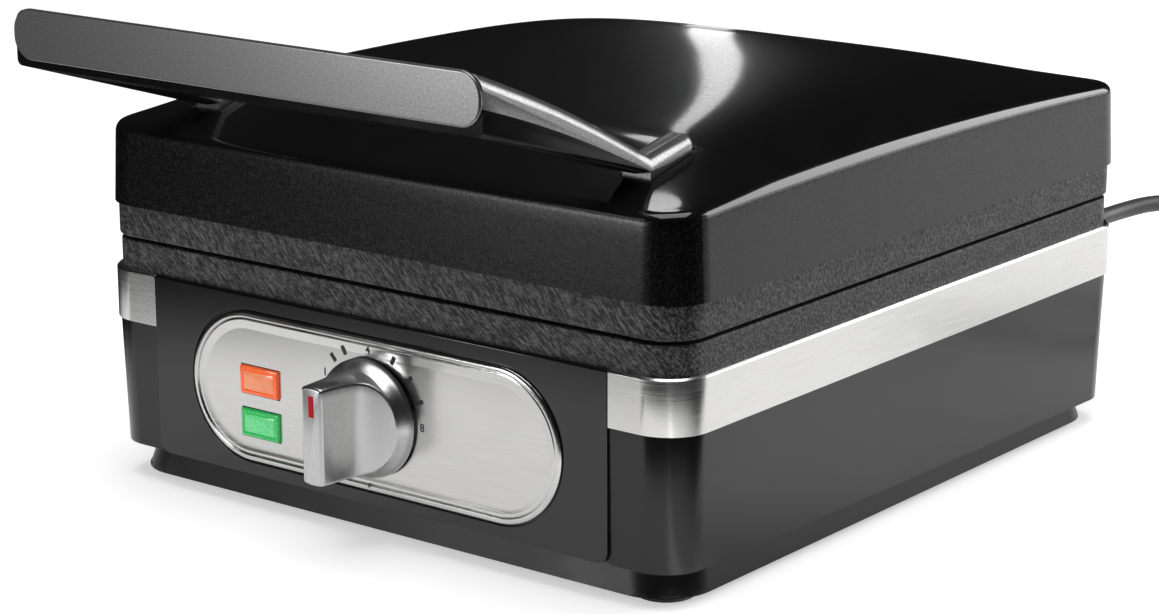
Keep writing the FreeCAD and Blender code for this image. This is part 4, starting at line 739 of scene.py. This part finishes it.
ink_mesh = bmesh.new()
for angle in TICK_ANGLES:
    turn = Matrix.Translation((0, PLATE_FACE, KNOB_Z)) @ Matrix.Rotation(math.radians(angle), 4, "Y")
    reach = Matrix.Translation((0, -INK_T / 2, TICK_INNER + TICK_LONG / 2))
    bar = Matrix.Diagonal((TICK_W, INK_T, TICK_LONG, 1))
    bmesh.ops.create_cube(ink_mesh, size=1, matrix=turn @ reach @ bar)
bmesh.ops.create_cone(ink_mesh, segments=24, radius1=DOT_R, radius2=DOT_R, depth=INK_T, cap_ends=True,
                      matrix=Matrix.Translation((0, PLATE_FACE - INK_T / 2, KNOB_Z - DOT_REACH))
                      @ Matrix.Rotation(math.pi / 2, 4, "X"))
printed(ink_mesh)
make_piece("dial_marks", ink_mesh, [ink], "base")

for number, angle in NUMBER_ANGLES:
    letters = bpy.data.curves.new("number", "FONT")
    letters.body, letters.size = number, NUMBER_SIZE
    letters.align_x, letters.align_y = "CENTER", "CENTER"
    letters.extrude, letters.offset = INK_T / 2, NUMBER_WEIGHT
    text = bpy.data.objects.new("number", letters)
    number_mesh = bmesh.new()
    number_mesh.from_mesh(bpy.data.meshes.new_from_object(text))
    place = (NUMBER_REACH * math.sin(math.radians(angle)), PLATE_FACE - INK_T / 2,
             KNOB_Z + NUMBER_REACH * math.cos(math.radians(angle)))
    number_mesh.transform(Matrix.Translation(place) @ Matrix.Rotation(math.pi / 2, 4, "X"))
    printed(number_mesh)
    make_piece("dial_number_" + number, number_mesh, [ink], "base")
    bpy.data.objects.remove(text)


# Knob: zinc die casting with a satin nickel finish. A flat blade for the fingers stands
# across a round skirt and carries a red pointer; it is pressed on the thermostat's shaft.
knob_silver = Finish("satin nickel", Metallic=1.0)
knob_grain = knob_silver.noise(0.3, detail=2)
knob_silver.set(Base_Color=knob_silver.mix(knob_grain, shade(0.54), shade(0.62)),
                Roughness=knob_silver.ramp(knob_grain, 0.3, 0.7, 0.26, 0.31))
knob_silver.bump(knob_grain, 0.003, 0.15)

KNOB_TALL = knob_high.y - knob_low.y
EDGE_ROUND, END_ROUND, ARC_STEPS, EDGE_STEPS, SIDE_STEPS = 1.1, 1.3, 16, 3, 6
KNOB_LEVELS = ((0, 24.0, 24.0), (1.4, 24.0, 24.0), (2.4, 23.7, 23.7), (3.5, 23.1, 23.1), (4.8, 22.3, 22.3),
               (6.0, 21.7, 21.7), (7.0, 21.3, 21.3), (7.1, 21.25, 20.6), (7.3, 21.2, 19.4),
               (7.7, 21.1, 17.6), (8.3, 21.0, 15.4), (9.2, 20.8, 13.0), (10.4, 20.6, 10.9),
               (12.0, 20.4, 9.2), (14.0, 20.3, 8.0), (16.6, 20.2, 7.1), (20.0, 20.1, 6.4),
               (25.0, 20.0, 5.8), (KNOB_TALL, 19.8, 5.2))   # height, radius, half width


def knob_ring(radius, half):
    """A disc's outline cut off at both sides and rounded there, clockwise from the top."""
    lean = math.asin(min(half / radius, 1))
    flat = radius * math.cos(lean)
    soft = min(EDGE_ROUND, flat / 2)
    end = lean - soft / radius
    arc = [(radius * math.sin(end * k / ARC_STEPS), radius * math.cos(end * k / ARC_STEPS))
           for k in range(ARC_STEPS + 1)]
    edge = []
    for k in range(1, EDGE_STEPS + 1):
        t = k / EDGE_STEPS
        edge.append(tuple(first * (1 - t) ** 2 + peak * 2 * t * (1 - t) + last * t ** 2
                          for first, peak, last in zip(arc[-1], (half, flat), (half, flat - soft))))
    side = [(half, (flat - soft) * (1 - k / SIDE_STEPS)) for k in range(1, SIDE_STEPS + 1)]
    quarter = arc + edge + side
    lower = [(x, -z) for x, z in quarter[-2::-1]]
    right = quarter + lower
    return right + [(-x, z) for x, z in right[-2:0:-1]]


knob_rings = [knob_ring(radius, half) for _, radius, half in KNOB_LEVELS]
count = len(knob_rings[0])
knob_mesh = bmesh.new()
bmesh.ops.create_circle(knob_mesh, segments=count, radius=1)
ring = knob_mesh.edges[:]
for level in range(1, len(knob_rings)):
    ring, _ = extend(knob_mesh, ring, lambda point: Vector((point.x, point.y, level)))
for point in knob_mesh.verts:
    level = round(point.co.z)
    x, z = knob_rings[level][round(math.atan2(point.co.x, point.co.y) / math.tau * count) % count]
    point.co = (x, -KNOB_LEVELS[level][0], z)
front = bmesh.ops.contextual_create(knob_mesh, geom=ring)["faces"]
bmesh.ops.bevel(knob_mesh, geom=list(front[0].edges), offset=END_ROUND, segments=4, profile=0.5,
                affect="EDGES", material=-1)
bmesh.ops.remove_doubles(knob_mesh, verts=knob_mesh.verts, dist=0.01)
bmesh.ops.recalc_face_normals(knob_mesh, faces=knob_mesh.faces)
knob_mesh.transform(Matrix.Translation((0, knob_high.y - MIDDLE_Y, KNOB_Z)))
make_piece("knob", knob_mesh, [knob_silver], "knob", ["temperature_knob"], sharp=40)


# Pointer: a short strip of red plastic, pressed into a groove in the front of the knob's
# blade, at the end that stands at the number. It turns with the knob.
pointer_red = Finish("pointer red", Specular_IOR_Level=0.15)
pointer_grain = pointer_red.noise(0.5)
pointer_red.set(Base_Color=pointer_red.mix(pointer_grain, (0.56, 0.002, 0.008, 1), (0.70, 0.004, 0.012, 1)),
                Roughness=pointer_red.ramp(pointer_grain, 0.3, 0.7, 0.32, 0.4))
finish_nodes(pointer_red, "knob_pointer")


# Handle: satin grey arms and grip in one moulding, painted in a fine metallic paint, with
# a black glossy filler under it and a rounded face plate pressed on its front. Two screws
# in each foot hold it in the lid's pockets.
handle_satin = Finish("handle metallic paint", Metallic=0.8)
flake = handle_satin.noise(0.75, detail=3, rough=0.7)
handle_satin.set(Base_Color=handle_satin.mix(handle_satin.ramp(flake, 0.3, 0.7), shade(0.16), shade(0.35)),
                 Roughness=handle_satin.ramp(flake, 0.3, 0.7, 0.31, 0.27))
handle_black = plastic("handle filler", 0.005, grain_mm=0.6, roughness=0.2, relief_mm=0.006,
                       Specular_IOR_Level=0.2)
softened("handle_shell", handle_satin, "lid", width=0.4, sharp=40)
softened("handle_underside", handle_black, "lid", width=0.4, sharp=40)
softened("handle_grip_plate", handle_satin, "lid", width=0, sharp=30)


# Cooking plates: aluminium castings with the waffle pattern, sprayed with a speckled black
# non-stick coating. Each is screwed into its collar and carries its heating element.
nonstick = Finish("non-stick coating")
pan_grain = nonstick.noise(0.5, detail=4)
pan_fleck = nonstick.ramp(nonstick.noise(1.2, detail=1), 0.66, 0.72)
nonstick.set(Base_Color=nonstick.mix(pan_fleck, shade(0.018), shade(0.1)),
             Roughness=nonstick.ramp(pan_grain, 0.3, 0.7, 0.32, 0.46))
nonstick.bump(pan_grain, 0.03, 0.4)
softened("lower_cooking_plate", nonstick, "base", width=0.5, sharp=25)
softened("upper_cooking_plate", nonstick, "lid", width=0.5, sharp=25)


# Hinges and inner sheet metal: steel with a spangled zinc plating. The leaves are screwed
# to the housing and the lid and turn on two pins; the heat reflector trays lie behind the
# cooking plates, and a bracket holds the thermostat and its shaft.
zinc = Finish("zinc plate", Metallic=1.0)
spangle = zinc.noise(6, detail=2)
zinc.set(Base_Color=zinc.mix(spangle, shade(0.5, 0.02), shade(0.66, 0.02)),
         Roughness=zinc.ramp(spangle, 0.3, 0.7, 0.3, 0.45))
zinc.bump(zinc.noise(0.5), 0.01, 0.3)
for node, body in (("base_hinge_left", "base"), ("base_hinge_right", "base"), ("lid_hinge_left", "lid"),
                   ("lid_hinge_right", "lid")):
    softened(node, zinc, body, width=0.4)
finish_nodes(zinc, "base_hinge_screws", "lid_hinge_screws", "bottom_screws", "handle_screws",
             "lower_plate_screws", "upper_plate_screws", "hinge_pin_left", "hinge_pin_right",
             "lower_reflector", "upper_reflector", "thermostat_bracket", "thermostat_shaft")


# Heating elements: steel tubes round a wound wire in powder, bent to a loop and browned by
# heat. They sit in cast saddles on the back of the cooking plates.
sheath = Finish("element sheath", Metallic=1.0)
oxide = sheath.noise(9, detail=4)
sheath.set(Base_Color=sheath.mix(oxide, (0.20, 0.19, 0.19, 1), (0.34, 0.27, 0.21, 1)),
           Roughness=sheath.ramp(oxide, 0.3, 0.7, 0.45, 0.65))
sheath.bump(sheath.noise(0.6), 0.02, 0.4)
finish_nodes(sheath, "lower_heating_element", "upper_heating_element")


# Electrical parts: the lamp holders and the terminal block in white nylon, and the
# thermostat's body in black nylon. They are screwed and clipped inside the housing.
white_nylon = plastic("white nylon", 0.72, grain_mm=0.6, roughness=0.5, relief_mm=0.02, spread=0.06)
finish_nodes(white_nylon, "lamp_holders", "terminal_block")
finish_nodes(black_nylon, "thermostat_body")
